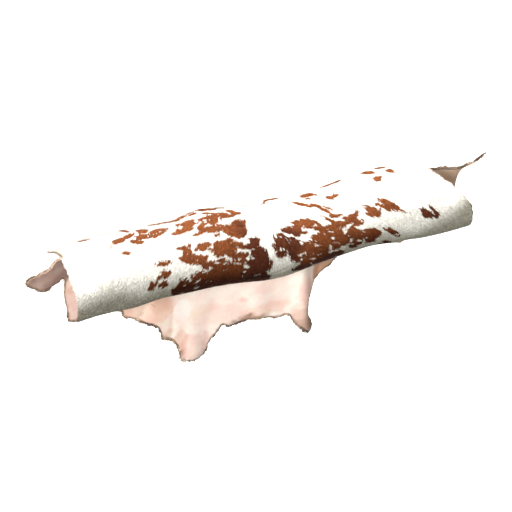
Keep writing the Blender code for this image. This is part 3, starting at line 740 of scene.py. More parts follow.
# The white gaps inside the large spots.
GAPS = (
    (-172, 594, 16, 9, 30), (-171, 622, 11, 6, 17), (-349, 652, 19, 11, 147), (-405, 665, 24, 20, 3),
    (156, 491, 42, 12, 25), (126, 513, 32, 10, 42), (184, 554, 16, 7, 20), (267, 548, 10, 8, 34),
    (116, 586, 23, 5, 179), (202, 606, 24, 6, 1), (175, 632, 21, 11, 16), (256, 591, 19, 11, 40),
    (283, 624, 25, 8, 16), (358, 510, 25, 11, 155), (258, 511, 20, 4, 33), (52, 539, 15, 3, 176),
    (328, 522, 21, 6, 161), (435, 563, 14, 4, 176), (-268, 594, 22, 3, 22), (-195, 659, 22, 6, 153),
    (-152, 529, 24, 9, 5), (-252, 541, 29, 7, 1), (0, 472, 17, 9, 2), (-22, 509, 10, 8, 167),
    (116, 527, 14, 7, 13), (245, 442, 16, 8, 36), (335, 538, 13, 11, 43), (408, 609, 19, 8, 32),
    (362, 612, 21, 6, 25), (95, 654, 39, 15, 50), (-404, 327, 13, 10, 117), (-230, 359, 17, 6, 134),
    (-599, 266, 24, 11, 149), (454, 449, 14, 5, 23), (610, 518, 29, 5, 26), (-342, 566, 12, 5, 18),
    (-287, 531, 14, 6, 164), (-263, 551, 10, 8, 27), (-506, 604, 31, 9, 118), (-472, 578, 18, 5, 19),
    (-455, 600, 15, 5, 81), (-317, 474, 20, 5, 124), (100, 429, 14, 5, 113), (49, 503, 18, 5, 59),
    (34, 551, 14, 6, 163), (81, 614, 28, 4, 32), (199, 470, 9, 6, 67), (272, 478, 9, 6, 112),
    (337, 480, 10, 5, 174), (364, 584, 11, 5, 25), (410, 578, 14, 4, 23), (182, 546, 15, 5, 51),
    (167, 622, 19, 7, 7), (720, 545, 19, 5, 62), (732, 524, 10, 3, 4), (540, 584, 13, 8, 30),
    (605, 639, 15, 6, 20), (-592, 283, 13, 7, 141), (-731, 336, 14, 6, 134), (-625, 557, 13, 5, 1),
    (-638, 574, 17, 4, 103), (-558, 523, 16, 4, 13), (-580, 572, 20, 5, 126), (-584, 481, 9, 7, 4),
    (-553, 480, 14, 4, 8), (-285, 336, 15, 7, 46), (-218, 344, 14, 6, 123), (-275, 420, 19, 4, 178),
    (-121, 371, 12, 6, 1), (59, 226, 26, 7, 124), (-402, 512, 5, 3, 14), (259, 624, 18, 8, 54),
    (405, 227, 28, 11, 162), (-70, 531, 18, 4, 48), (-359, 574, 21, 5, 2), (-568, 311, 22, 6, 12),
    (147, 468, 12, 3, 24), (782, 549, 20, 5, 57), (5, 536, 9, 3, 7), (-587, 305, 14, 7, 178),
    (-136, 559, 10, 4, 7), (-360, 500, 9, 4, 7), (-390, 561, 18, 5, 174), (-244, 558, 22, 6, 18),
    (-233, 383, 22, 6, 18), (-359, 643, 17, 11, 146), (-181, 574, 15, 3, 8), (-309, 340, 11, 7, 51),
    (-254, 289, 11, 8, 22), (-245, 307, 9, 7, 7), (-341, 253, 33, 9, 147), (-424, 578, 20, 5, 133),
    (-402, 564, 16, 4, 175), (-510, 616, 22, 7, 116), (-484, 584, 12, 4, 13), (-68, 535, 13, 4, 52),
    (423, 515, 10, 6, 99), (22, 475, 8, 4, 80), (337, 512, 19, 4, 156), (-400, 616, 16, 7, 154),
    (-458, 629, 16, 9, 26), (-454, 602, 15, 10, 96), (-309, 549, 14, 3.5, 10), (-270, 561, 16, 3.5, 5),
    (-228, 557, 20, 7, 30), (-203, 556, 12, 4, 8), (-173, 559, 19, 7, 179), (-215, 571, 28, 5.5, 16),
    (-169, 592, 16, 6, 30), (-101, 675, 24, 18, 69), (-83, 656, 17, 15, 75), (123, 580, 18, 5, 0),
    (364, 584, 16, 7, 128), (189, 668, 33, 15, 60), (116, 612, 8, 5, 84), (-48, 670, 41, 11, 56),
    (-604, 560, 12, 9, 108), (-561, 563, 11, 10, 81), (-92, 490, 16, 8, 100), (-118, 411, 25, 6, 109),
)
# Small islands and tongues of brown, laid over the gaps.
ISLANDS = (
    (-212, 484, 13, 10, 155), (-214, 509, 11, 6, 106), (-239, 534, 15, 7, 8), (-137, 538, 14, 7, 98),
    (-134, 513, 17, 5, 5), (-65, 580, 46, 10, 85), (-70, 648, 22, 13, 55), (-63, 714, 48, 28, 2),
    (-183, 561, 17, 9, 8), (-167, 539, 9, 7, 105), (-254, 562, 9, 5, 14), (-279, 542, 11, 5, 13),
    (-449, 474, 11, 8, 118), (-453, 504, 27, 7, 37), (-393, 530, 15, 4, 26), (-283, 584, 10, 5, 18),
    (-258, 594, 7, 5, 29), (-193, 658, 20, 12, 142), (-434, 581, 10, 5, 84), (-453, 645, 37, 15, 17),
    (-448, 623, 23, 9, 71), (-333, 683, 52, 26, 4), (-496, 676, 25, 13, 43), (-342, 643, 13, 6, 40),
    (-110, 741, 52, 20, 25), (-244, 227, 30, 14, 107), (-278, 353, 12, 8, 120), (-546, 336, 13, 11, 144),
    (-212, 446, 17, 7, 23), (-298, 408, 26, 5, 19), (-355, 399, 9, 8, 13), (-398, 303, 10, 8, 57),
    (-232, 391, 30, 5, 22), (-605, 339, 13, 7, 18), (-700, 406, 13, 5, 13), (-560, 495, 23, 5, 3),
    (-552, 549, 16, 5, 0), (37, 518, 26, 16, 91), (47, 534, 16, 13, 16), (34, 487, 22, 5, 87),
    (-4, 527, 13, 7, 101), (75, 445, 21, 6, 4), (117, 428, 18, 7, 6), (59, 465, 24, 5, 22),
    (115, 470, 10, 8, 8), (125, 483, 23, 6, 14), (104, 489, 11, 5, 14), (151, 452, 9, 3, 13),
    (171, 463, 19, 7, 22), (195, 482, 23, 6, 38), (219, 502, 19, 7, 51), (181, 512, 15, 5, 6),
    (249, 507, 11, 6, 15), (215, 532, 10, 5, 17), (241, 555, 24, 16, 28), (205, 553, 26, 6, 18),
    (365, 497, 17, 6, 6), (340, 503, 15, 6, 162), (323, 510, 8, 6, 105), (398, 519, 22, 6, 4),
    (374, 531, 13, 7, 20), (440, 561, 18, 7, 14), (395, 579, 31, 7, 10), (434, 596, 15, 5, 28),
    (381, 633, 25, 8, 34), (407, 627, 17, 9, 23), (322, 598, 15, 5, 23), (206, 598, 18, 10, 11),
    (186, 606, 20, 6, 75), (235, 669, 74, 27, 24), (280, 677, 50, 12, 53), (174, 639, 20, 6, 32),
    (161, 683, 29, 13, 49), (144, 702, 24, 13, 56), (121, 588, 8, 6, 42), (154, 602, 10, 6, 38),
    (267, 594, 9, 5, 71), (288, 610, 11, 4, 28), (410, 469, 15, 9, 112), (687, 191, 27, 20, 152),
    (687, 274, 12, 8, 15), (613, 315, 7, 6, 129), (334, 329, 10, 7, 125), (368, 322, 8, 4, 120),
    (342, 349, 11, 6, 20), (224, 364, 16, 6, 15), (288, 422, 9, 7, 76), (551, 488, 29, 7, 44),
    (612, 501, 8, 6, 42), (467, 497, 20, 5, 43), (520, 497, 14, 6, 105), (770, 557, 14, 6, 91),
    (-48, 602, 26, 7, 91), (78, 443, 14, 5, 15), (19, 470, 13, 7, 0), (-23, 513, 10, 5, 4),
    (-19, 529, 13, 4, 63), (140, 677, 46, 25, 12), (249, 664, 50, 33, 30), (290, 649, 31, 17, 30),
    (100, 479, 8, 6, 10), (104, 491, 9, 4, 15), (403, 590, 26, 8, 13), (467, 640, 23, 8, 19),
    (387, 627, 25, 11, 6), (334, 596, 17, 4, 21), (240, 575, 15, 4, 69), (219, 604, 11, 6, 55),
    (127, 595, 8, 5, 60), (88, 588, 6, 4, 51), (293, 442, 9, 8, 168), (569, 619, 33, 5, 41),
    (599, 504, 25, 5, 28), (566, 491, 7, 5, 14), (-642, 311, 26, 6, 164), (-595, 317, 20, 4, 132),
    (-573, 316, 17, 7, 21), (-605, 575, 12, 6, 103), (-632, 600, 11, 5, 23), (-562, 555, 14, 5, 169),
    (-594, 556, 7, 5, 31), (-564, 600, 15, 6, 147), (-533, 491, 8, 7, 1), (-552, 499, 14, 4, 2),
    (579, 696, 40, 12, 37), (-451, 665, 56, 22, 28), (-135, 721, 137, 29, 21), (-79, 679, 49, 23, 1),
    (-486, 689, 38, 18, 53), (762, 567, 16, 4, 4), (777, 561, 10, 8, 9), (-148, 331, 12, 9, 166),
    (-255, 282, 13, 10, 27), (-187, 309, 16, 7, 9), (-291, 320, 15, 7, 168), (-197, 344, 20, 5, 175),
    (-221, 398, 22, 4, 163), (-403, 362, 23, 5, 176), (-371, 361, 17, 5, 166), (-364, 399, 14, 4, 5),
    (-364, 475, 23, 4, 13), (-370, 449, 11, 4, 168), (-238, 541, 14, 5, 53), (-218, 563, 15, 4, 9),
    (-137, 538, 13, 6, 121), (-191, 574, 10, 4, 8), (-557, 272, 23, 12, 22), (-312, 505, 8, 7, 103),
    (-43, 590, 11, 6, 80), (-223, 538, 8, 5, 135), (-369, 651, 39, 13, 4), (8, 522, 20, 5, 9),
    (-7, 552, 15, 9, 9), (24, 547, 10, 7, 107), (231, 528, 9, 7, 26), (309, 526, 8, 5, 19),
    (342, 545, 8, 5, 129), (377, 637, 21, 7, 22), (281, 464, 14, 3, 35), (579, 499, 20, 4, 23),
    (793, 539, 21, 4, 41), (808, 563, 14, 6, 112), (-303, 260, 14, 10, 171), (-344, 253, 16, 7, 161),
    (-266, 369, 13, 7, 14), (-253, 313, 11, 7, 17), (-222, 441, 10, 6, 121), (-113, 475, 19, 5, 4),
    (-100, 496, 15, 5, 96), (-89, 518, 13, 5, 48), (-365, 545, 17, 13, 27), (-300, 700, 130, 28, 0),
    (63, 493, 17, 4, 26), (139, 531, 12, 4, 14), (239, 505, 10, 6, 15), (237, 537, 12, 4, 18),
    (188, 522, 11, 5, 16), (308, 530, 8, 6, 20), (216, 565, 11, 4, 19), (-186, 584, 10, 4, 83),
    (-181, 684, 142, 13, 14),
)
# Spots that the photograph doesn't show: on the neck's hair side, behind, and wound in.
UNSEEN_SPOTS = (
    (-330, -210, 150, 80, 30), (-110, -330, 80, 150, 10), (210, -240, 140, 70, 140),
    (480, -190, 110, 60, 20), (-150, -90, 120, 45, 170), (60, -100, 60, 30, 60), (-620, -180, 60, 45, 30),
    (-560, -120, 40, 30, 120), (-400, -280, 50, 60, 10), (-340, -220, 60, 30, 40), (-250, -80, 90, 55, 160),
    (-170, -150, 50, 60, 70), (-210, -420, 45, 30, 80), (-230, -560, 30, 42, 0), (-60, -300, 60, 80, 20),
    (-20, -400, 35, 30, 0), (90, -250, 70, 40, 110), (160, -120, 80, 50, 15), (240, -360, 60, 35, 150),
    (340, -480, 30, 60, 10), (420, -220, 90, 50, 35), (520, -140, 45, 35, 90), (690, -200, 60, 30, 160),
    (780, -80, 40, 50, 0), (-740, 20, 50, 28, 20), (-480, 40, 70, 35, 165), (20, 20, 50, 90, 5),
    (280, 60, 60, 30, 140), (600, 70, 70, 32, 25), (1120, -30, 60, 30, 10), (1335, -5, 65, 70, 0),
    (-940, -55, 40, 22, 10), (-550, 900, 120, 70, 30), (-250, 860, 160, 80, 10), (50, 940, 110, 100, 60),
    (300, 850, 140, 70, 170), (560, 960, 100, 60, 40), (-150, 1120, 120, 60, 0), (360, 1130, 100, 50, 20),
)
# Where the red-brown is duller, mostly beside the spine.
DEEP_PARTS = (
    (-100, 590, 70, 160, 0), (60, 520, 60, 100, 0), (-110, 480, 50, 60, 0), (1335, -5, 90, 90, 0),
    (10, 520, 50, 60, 0), (765, 548, 70, 60, 0), (-147, 415, 40, 32, 90),
)
DEEP_FADE = 0.08
DEEP_WANDER = ((0.03, 0.020),)
DEEP_SEED = 13
# Where the hair is soiled tan beside the cut.
SOILED_PARTS = (
    (-943, 225, 85, 9, 90), (-600, 150, 50, 10, 10),
)
SOILED_FADE = 0.008
# Where the hair starts to be painted duller and greyer, as x and along: painted shade of the roll's
# underside.
UNDERSIDE_SHADE_FROM = (
    (-0.95, 0.570), (-0.82, 0.557), (-0.68, 0.600), (-0.50, 0.585), (-0.25, 0.612), (0.05, 0.625),
    (0.20, 0.610), (0.35, 0.585), (0.50, 0.605), (0.70, 0.645), (0.82, 0.585), (0.90, 0.545), (0.95, 0.500),
    (1.00, 0.430),
)
UNDERSIDE_SHADE_FADE = 0.13
UNDERSIDE_SHADE_WANDER = ((0.03, 0.008),)
UNDERSIDE_SHADE_SEED = 14
# Where along the hide the brown starts to get painted shade, over how far, and its share of that shade.
# The underside's painted shade does the rest.
BROWN_SHADE_FROM = 0.45
BROWN_SHADE_FADE = 0.25
BROWN_SHADE_SHARE = 0.30


def nearness(distance, reach):
    """1 close by, a half at the reach, and 0 from one and a half times the reach on."""
    return eased(1.5 - distance / reach)


def hair_way(flat):
    """The angle of the hair from the hide's length, outward from the spine."""
    return np.radians(SPINE_LEAN) * np.tanh(flat[:, 0] / SPINE_HALF)


def roots(left, right, low, high, spacing, rng):
    """The roots of the blades on a stretch of the hide."""
    x, along = np.meshgrid(np.arange(left, right, spacing), np.arange(low, high, spacing))
    root = np.stack([x.ravel(), along.ravel()], axis=1)
    root += rng.uniform(-0.5, 0.5, root.shape) * spacing
    return root[read_net(net_depth, root) > ROOT_CLEAR]


def lock_of(root):
    """The middle of the lock that each root belongs to, and three random numbers of that lock."""
    rng = np.random.default_rng(LOCK_SEED)
    count = 256
    jitter = rng.uniform(*LOCK_JITTER, (count, count, 2))
    traits = rng.uniform(-1, 1, (count, count, 3))
    lean = hair_way(root)
    sine, cosine = np.sin(lean), np.cos(lean)
    drawn = np.stack([root[:, 0] * cosine - root[:, 1] * sine,
                      root[:, 0] * sine + root[:, 1] * cosine], axis=1) / LOCK_SIZE
    cell = np.floor(drawn).astype(int)
    best = np.full(len(root), np.inf)
    middle, trait = np.zeros_like(root), np.zeros((len(root), 3))
    for dx in (-1, 0, 1):
        for ds in (-1, 0, 1):
            i, j = (cell + (dx, ds)).T
            point = cell + (dx, ds) + jitter[i % count, j % count]
            distance = np.hypot(*(drawn - point).T)
            nearer = distance < best
            best[nearer], middle[nearer] = distance[nearer], point[nearer]
            trait[nearer] = traits[i[nearer] % count, j[nearer] % count]
    middle *= LOCK_SIZE
    middle = np.stack([middle[:, 0] * cosine + middle[:, 1] * sine,
                       middle[:, 1] * cosine - middle[:, 0] * sine], axis=1)
    return middle, trait


def brown_depth(flat):
    """How far inside the red-brown each flat point is, with edges ragged along the hair."""
    depth = np.minimum(patch_depth(flat, SPOTS) + SPOT_SPREAD, GAP_CLOSE - patch_depth(flat, GAPS))
    depth = np.maximum(depth, patch_depth(flat, ISLANDS) + SPOT_SPREAD)
    depth = np.maximum(depth, patch_depth(flat, UNSEEN_SPOTS) + strayed(flat, UNSEEN_WANDER, UNSEEN_SEED))
    for side in (-1, 1):
        half = np.sign(flat[:, 0] + TINY) == side
        depth[half] += strayed(flat[half], STREAKS, STREAK_SEED, STREAK_STRETCH, side * STREAK_WAY)
    return depth


def deep_hair(flat):
    """From 0 to 1, how dull the red-brown is."""
    return past(patch_depth(flat, DEEP_PARTS) + strayed(flat, DEEP_WANDER, DEEP_SEED), DEEP_FADE)


def underside_shade_of(flat):
    """From 0 to 1, how much painted shade the hair gets on the roll's underside."""
    dusty_x, dusty_along = np.array(UNDERSIDE_SHADE_FROM).T
    start = np.interp(flat[:, 0], dusty_x, dusty_along) + strayed(flat, UNDERSIDE_SHADE_WANDER, UNDERSIDE_SHADE_SEED)
    return past(flat[:, 1] - start, UNDERSIDE_SHADE_FADE)


def blade_piece(name, corners, seen, values):
    """A piece of five-cornered blades, from the rows of their corners, root first."""
    each = len(corners)
    points = np.stack(corners, axis=1).reshape(-1, 3)
    at = np.arange(len(seen))[:, None] * each
    faces = np.concatenate([at + triangle for triangle in BLADE_TRIANGLES], axis=1).reshape(-1, 3)
    flat = np.repeat(seen, each, axis=0)
    maps = {"flat": flat, "OFBake": bake_map(flat, *BLADE_BAKE)}
    piece = new_piece(name, points, faces, maps, {k: np.repeat(v, each) for k, v in values.items()})
    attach(piece, "root")
    return piece


def coat(name, left, right, low, high, spacing, seed):
    """One stretch of the coat as a piece."""
    rng = np.random.default_rng(seed)
    root = roots(left, right, low, high, spacing, rng)
    middle, trait = lock_of(root)
    count = len(root)
    way = hair_way(root) + np.radians(LOCK_TURN) * trait[:, 0] + rng.normal(0, np.radians(BLADE_TURN), count)
    way += np.radians(SWIRL_TURN) * wander(root, SWIRL_SIZE, SWIRL_SEED)
    ahead = np.stack([np.sin(way), np.cos(way)], axis=1)
    aside = crosswise(ahead)
    length = rng.uniform(*BLADE_LENGTH, count)
    half = (rng.uniform(*BLADE_HALF_WIDTH, count) * spacing / USUAL_SPACING)[:, None]
    pull = (middle - root) * LOCK_PULL
    pressed = PRESSED_SHARE * nearness(np.abs(root[:, 1] - PRESSED_AT), PRESSED_WIDE)
    lift = (LIFT + LOCK_LIFT * trait[:, 1] + rng.normal(0, BLADE_LIFT, count)) * (1 - pressed)
    knee = root + ahead * (length * KNEE_PLACE)[:, None] + pull * KNEE_PLACE
    tip = root + ahead * length[:, None] + pull
    tilt = rng.uniform(-BLADE_TILT, BLADE_TILT, count)
    rooted = np.full(count, ROOT_SHARE * LEATHER[1])
    corners = (
        placed(root + aside * half, rooted),
        placed(root - aside * half, rooted),
        placed(knee + aside * half, lift * KNEE_HEIGHT + tilt),
        placed(knee - aside * half, lift * KNEE_HEIGHT - tilt),
        placed(tip, lift),
    )
    seen = root + ahead * (length * COLOUR_PLACE)[:, None]
    brown = brown_depth(seen) + rng.normal(0, EDGE_CHANCE, count) > 0
    values = {"tone": trait[:, 2] * LOCK_TONE + rng.uniform(-BLADE_TONE, BLADE_TONE, count),
              "brown": brown.astype(float), "deep": deep_hair(seen), "underside_shade": underside_shade_of(seen)}
    values["soiled"] = past(patch_depth(seen, SOILED_PARTS), SOILED_FADE)
    # The brown's painted shade: darker further along the hide, and where the underside's shade is.
    values["brown_shade"] = BROWN_SHADE_SHARE * past(seen[:, 1] - BROWN_SHADE_FROM, BROWN_SHADE_FADE) + (1 - BROWN_SHADE_SHARE) * values["underside_shade"]
    return blade_piece(name, corners, seen, values)


# Cattle hair, coarse and slightly glossy: cream white and red-brown locks, each a little lighter or
# darker than the next, duller beside the spine, with painted shade that greys and darkens the underside.
HAIR_SHADES = {"white": ("#C8C3B7", "#FFFDF6"), "red_brown": ("#6C3C22", "#985834"),
               "dull_brown": ("#522B1D", "#6C3C29")}
# The colours of the painted shade on brown and white hair, and of soiled white hair.
BROWN_IN_SHADE, WHITE_IN_SHADE, SOILED_WHITE = "#574026", "#A3A197", "#8E7C6C"
hair, tree, shader = new_material("cattle_hair", roughness=0.60)
numbers = {name: add(tree, "Attribute", {"attribute_name": name}).outputs["Fac"]
           for name in ("tone", "brown", "deep", "underside_shade", "brown_shade", "soiled")}
lightness = add(tree, "MapRange", {"From Min": -1.0, "From Max": 1.0}, {"Value": numbers["tone"]})
shades = {}
for name, (darker, lighter) in HAIR_SHADES.items():
    shades[name] = add(tree, "Mix", {"data_type": "RGBA", FIRST: colour(darker), SECOND: colour(lighter)},
                       {"Factor": lightness.outputs["Result"]}).outputs[MIXED]


def darkened(base, number, code):
    """A colour darkened by another one, as far as a number of the hair says."""
    return add(tree, "Mix", {"data_type": "RGBA", "blend_type": "MULTIPLY", SECOND: colour(code)},
               {"Factor": numbers[number], FIRST: base}).outputs[MIXED]


brown_hair = add(tree, "Mix", {"data_type": "RGBA"},
                 {"Factor": numbers["deep"], FIRST: shades["red_brown"], SECOND: shades["dull_brown"]})
brown_hair = darkened(brown_hair.outputs[MIXED], "brown_shade", BROWN_IN_SHADE)
white_hair = darkened(darkened(shades["white"], "underside_shade", WHITE_IN_SHADE), "soiled", SOILED_WHITE)
coat_colour = add(tree, "Mix", {"data_type": "RGBA"},
                  {"Factor": numbers["brown"], FIRST: white_hair, SECOND: brown_hair})
tree.links.new(coat_colour.outputs[MIXED], shader.inputs["Base Color"])
shader.inputs["Specular IOR Level"].default_value = 0.02

# The stretches of the coat, with the places that each lies between and the spacing of its blades.
STRETCHES = (
    ("coat_neck", -0.95, 1.0, -0.66, -0.05, 0.0037),
    ("coat_crown_left", -1.05, 0.03, -0.05, 0.36, 0.0031),
    ("coat_crown_right", 0.03, 1.40, -0.05, 0.36, 0.0031),
    ("coat_front_left", -1.05, 0.03, 0.36, 0.72, 0.0030),
    ("coat_front_right", 0.03, 1.40, 0.36, 0.72, 0.0030),
    ("coat_under", -1.05, 1.10, 0.72, 1.27, 0.0058),
)
COAT_SEED = 100
pile = []
for seed, (name, *stretch) in enumerate(STRETCHES):
    pile.append(coat(name, *stretch, COAT_SEED + seed))
    pile[-1].data.materials.append(hair)

# The ground between the hairs takes the coat's colour.
brown_ground = np.zeros(2 * count)
brown_ground[count:] = brown_depth(flat) > 0
number_points(skin.data, "brown", brown_ground)


# The edge hair. Along the knife cut the short undercoat stands out past the leather and makes the soft
# rim that is seen all round the hide. Its taupe, tan and dark grey are partly dirt and partly painted
# shade and light: dark where the rim is in shade, pale where it is lit.
EDGE_STEP = 0.0018
EDGE_LAYERS = 6
EDGE_LENGTH = (0.012, 0.018)
EDGE_HALF_WIDTH = (0.0008, 0.0013)
EDGE_ROOT = (0.0005, 0.0045)    # how far inside the cut a hair starts
EDGE_LOOK = 0.004               # the way of the cut is measured over this length
EDGE_RAISED = 0.0002            # a root's height over the grain side
EDGE_KNEE = 0.6                 # the share of a hair's length where it bends
KNEE_RISE = 0.0026              # the top layer's height there
TIP_PAST = 0.002                # the tips go this much further
TIP_FROM = -0.0030              # the lowest layer's height at its tips
TIP_RISE = 0.0060               # and how much higher the top layer ends
TIP_POWER = 1.5                 # how fast that spread grows with the length
# How the length, the lean and the tone change along the cut, each by an amount over a size.
TUFT_LENGTH, TUFT_CHANGE, TUFT_SIZE = 0.80, 0.35, 0.012
LEAN_CHANCE, LEAN_CHANGE, LEAN_SIZE = 0.35, 0.5, 0.015
TONE_MIDDLE, TONE_CHANGE, TONE_SIZE = 0.5, 0.5, 0.04
TONE_CHANCE = 0.12
TONE_SHARE = 0.8                # how far a part's own tone takes over
TONE_SEED, TUFT_SEED, LEAN_SEED, EDGE_SEED = 31, 32, 33, 200
# Where it is longer and of what tone, from 0, pale, to 1, dark: x, along, reach, longer and tone. The
# tones are mostly painted shade and light of the rim.
EDGE_PARTS = (
    (-0.600, -0.300, 0.050, 1.1, 0.60), (-0.540, -0.345, 0.040, 1.0, 0.45),
    (-0.450, -0.390, 0.030, 1.3, 0.80), (-0.390, -0.430, 0.040, 1.0, 0.60),
    (-0.330, -0.500, 0.040, 1.2, 0.50), (-0.168, -0.630, 0.040, 2.0, 0.92),
    (-0.225, -0.645, 0.035, 1.8, 0.62), (-0.285, -0.600, 0.040, 1.5, 0.10),
    (-0.130, -0.560, 0.035, 0.8, 0.35), (-0.090, -0.515, 0.030, 1.0, 0.75),
    (0.000, -0.490, 0.050, 1.1, 0.95), (0.070, -0.478, 0.030, 1.0, 0.70), (0.150, -0.480, 0.060, 1.1, 0.50),
    (0.250, -0.507, 0.040, 1.0, 0.35), (0.300, -0.550, 0.040, 1.0, 0.60), (0.345, -0.605, 0.030, 1.4, 0.85),
    (0.395, -0.610, 0.040, 1.3, 0.95), (0.372, -0.500, 0.060, 0.9, 0.60), (0.440, -0.385, 0.050, 0.9, 0.50),
    (0.540, -0.340, 0.060, 0.9, 0.70), (-0.948, 0.225, 0.065, 1.6, 0.55), (-0.950, 0.300, 0.150, 0.7, 0.50),
    (-0.965, 0.550, 0.140, 0.7, 0.45), (-0.910, 0.760, 0.080, 0.9, 0.75),
    (-0.900, -0.010, 0.090, 1.2, 0.00), (-1.000, -0.070, 0.060, 0.8, 0.65),
    (-0.890, -0.095, 0.050, 0.9, 0.90), (-0.838, -0.200, 0.100, 0.5, 0.40),
    (-0.800, -0.298, 0.050, 1.2, 0.55), (0.975, 0.105, 0.045, 1.0, 0.35), (1.030, 0.082, 0.030, 1.3, 0.30),
    (1.085, 0.065, 0.035, 1.9, 0.25), (1.150, 0.042, 0.035, 1.9, 0.20), (1.212, 0.024, 0.028, 1.9, 0.75),
    (1.265, 0.018, 0.025, 2.0, 0.25), (1.335, -0.005, 0.045, 2.1, 0.85), (0.950, -0.150, 0.080, 1.1, 0.70),
    (1.010, 0.640, 0.170, 1.0, 0.92),
)


def edge_hair(name):
    """The hair that stands out past the cut edge, as a piece."""
    rng = np.random.default_rng(EDGE_SEED)
    closed = np.vstack([cut[:, :2], cut[:1, :2]])
    lengths = np.append(0, np.cumsum(np.hypot(*np.diff(closed, axis=0).T)))

    def cut_at(length):
        """The flat points at lengths along the cut, round and round."""
        return np.stack([np.interp(length % lengths[-1], lengths, values) for values in closed.T], axis=1)

    at = np.tile(np.arange(0, lengths[-1], EDGE_STEP), EDGE_LAYERS)
    at += rng.uniform(0, EDGE_STEP, len(at))
    on_cut = cut_at(at)
    run = unit(cut_at(at + EDGE_LOOK) - on_cut)
    out = -crosswise(run)
    count = len(at)
    longer, tone = np.ones(count), TONE_MIDDLE + TONE_CHANGE * wander(on_cut, TONE_SIZE, TONE_SEED)
    for part_x, part_along, reach, part_longer, part_tone in EDGE_PARTS:
        near = nearness(np.hypot(*(on_cut - (part_x, part_along)).T), reach)
        longer += near * (part_longer - longer)
        tone += TONE_SHARE * near * (part_tone - tone)
    tuft = TUFT_LENGTH + TUFT_CHANGE * wander(on_cut, TUFT_SIZE, TUFT_SEED)
    length = rng.uniform(*EDGE_LENGTH, count) * longer * tuft
    lean = rng.normal(0, LEAN_CHANCE, count) + LEAN_CHANGE * wander(on_cut, LEAN_SIZE, LEAN_SEED)
    ahead = unit(out + run * lean[:, None])
    aside = crosswise(ahead)
    root = on_cut - out * rng.uniform(*EDGE_ROOT, count)[:, None]
    layer = rng.uniform(0, 1, count)
    knee = root + ahead * (EDGE_KNEE * length)[:, None]
    tip = root + ahead * (length + TIP_PAST)[:, None]
    half = rng.uniform(*EDGE_HALF_WIDTH, count)[:, None]
    low = np.full(count, LEATHER[1] + EDGE_RAISED)
    corners = (
        placed(root + aside * half, low),
        placed(root - aside * half, low),
        placed(knee + aside * half, low + KNEE_RISE * layer * longer),
        placed(knee - aside * half, low + KNEE_RISE * layer * longer),
        placed(tip, low + (TIP_RISE * layer + TIP_FROM) * longer**TIP_POWER),
    )
    return blade_piece(name, corners, on_cut, {"tone": tone + rng.normal(0, TONE_CHANCE, count)})


# Clipped undercoat at the cut: dull, from pale taupe to nearly black brown, so that the hide's outline
# looks soft. Its dark end is mostly painted shade of the rim's shaded side, with a little dirt.
UNDERCOAT_AND_SHADE_STOPS = ((0.05, "#E9D3C2"), (0.95, "#43352B"), (0.35, "#AE9070"), (0.65, "#7C6858"))
undercoat, tree, shader = new_material("undercoat_with_painted_shade", roughness=0.8)
tone = add(tree, "Attribute", {"attribute_name": "tone"}).outputs["Fac"]
taupe = add(tree, "ValToRGB", links={"Fac": tone}, stops=UNDERCOAT_AND_SHADE_STOPS)
tree.links.new(taupe.outputs["Color"], shader.inputs["Base Color"])
rim_hair = edge_hair("edge_hair")
rim_hair.data.materials.append(undercoat)


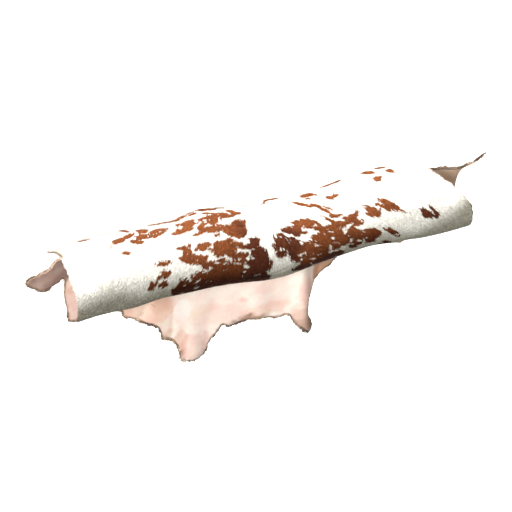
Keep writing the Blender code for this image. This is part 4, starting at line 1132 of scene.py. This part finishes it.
# The studio. A plain floor of matt white paint lies far below and gives the eye an empty ground. Two
# soft lights, one low at the front left and a broader one nearly overhead, stand in a faint even light.
# The camera stands where the photograph's did, with a long lens.
FLOOR_HALF, FLOOR_Z = 9, -1.8
floor_mesh = bpy.data.meshes.new("floor")
floor_mesh.from_pydata([(x * FLOOR_HALF, y * FLOOR_HALF, FLOOR_Z)
                        for x, y in ((-1, -1), (1, -1), (1, 1), (-1, 1))], [], [(0, 1, 2, 3)])
floor = bpy.data.objects.new("floor", floor_mesh)
bpy.context.scene.collection.objects.link(floor)
floor_paint, tree, shader = new_material("matt_white_paint", roughness=0.9)
shader.inputs["Base Color"].default_value = colour("#F4F4F2")
floor_mesh.materials.append(floor_paint)
floor.visible_diffuse = False
floor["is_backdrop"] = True

world = bpy.data.worlds.new("studio")
world.use_nodes = True
even_light = world.node_tree.nodes["Background"]
even_light.inputs["Color"].default_value = colour("#FDFFF9")
even_light.inputs["Strength"].default_value = 0.22
bpy.context.scene.world = world


def towards(azimuth, elevation):
    """The way from the hide to a light or camera, by its angles in degrees. Azimuth 0 is in front."""
    a, e = math.radians(azimuth), math.radians(elevation)
    return Vector((math.sin(a) * math.cos(e), -math.cos(a) * math.cos(e), math.sin(e)))


def set_up(name, data, back):
    """A light or camera in the scene, looking the other way from back."""
    item = bpy.data.objects.new(name, data)
    item.rotation_mode = "QUATERNION"
    item.rotation_quaternion = back.to_track_quat("Z", "Y")
    bpy.context.scene.collection.objects.link(item)
    return item


# Each light's azimuth, elevation, strength and the angle that it seems wide, in degrees.
LIGHTS = {"key_light": (-45, 18, 3.9, 14), "top_light": (175, 78, 7.6, 40)}
for name, (azimuth, elevation, strength, spread) in LIGHTS.items():
    light = bpy.data.lights.new(name, "SUN")
    light.energy, light.angle = strength, math.radians(spread)
    set_up(name, light, towards(azimuth, elevation))

# The camera, by its angles in degrees and the photograph's scale.
CAMERA_AZIMUTH, CAMERA_ELEVATION = -30, 25
PHOTO_PIXELS = 512
PIXEL = 0.00435             # metres for each of the photograph's pixels, at the object
MIDDLE_RIGHT, MIDDLE_UP = -1, -12       # the picture's middle from the hollow's, in those pixels
LENS, SENSOR = 200, 36      # millimetres, as on a camera
back = towards(CAMERA_AZIMUTH, CAMERA_ELEVATION)
right = Vector((math.cos(math.radians(CAMERA_AZIMUTH)), math.sin(math.radians(CAMERA_AZIMUTH)), 0))
up = back.cross(right)
target = Vector((0, 0, CENTRE_Z)) + (right * MIDDLE_RIGHT + up * MIDDLE_UP) * PIXEL
camera_data = bpy.data.cameras.new("camera")
camera_data.lens, camera_data.sensor_width = LENS, SENSOR
camera = set_up("camera", camera_data, back)
camera.location = target + back * (PHOTO_PIXELS * LENS / SENSOR * PIXEL)
bpy.context.scene.camera = camera
bpy.context.scene.view_settings.view_transform = "Standard"

boxes = {"cad": [list(corner) for corner in cad_box], "visual": [list(corner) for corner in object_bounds()]}
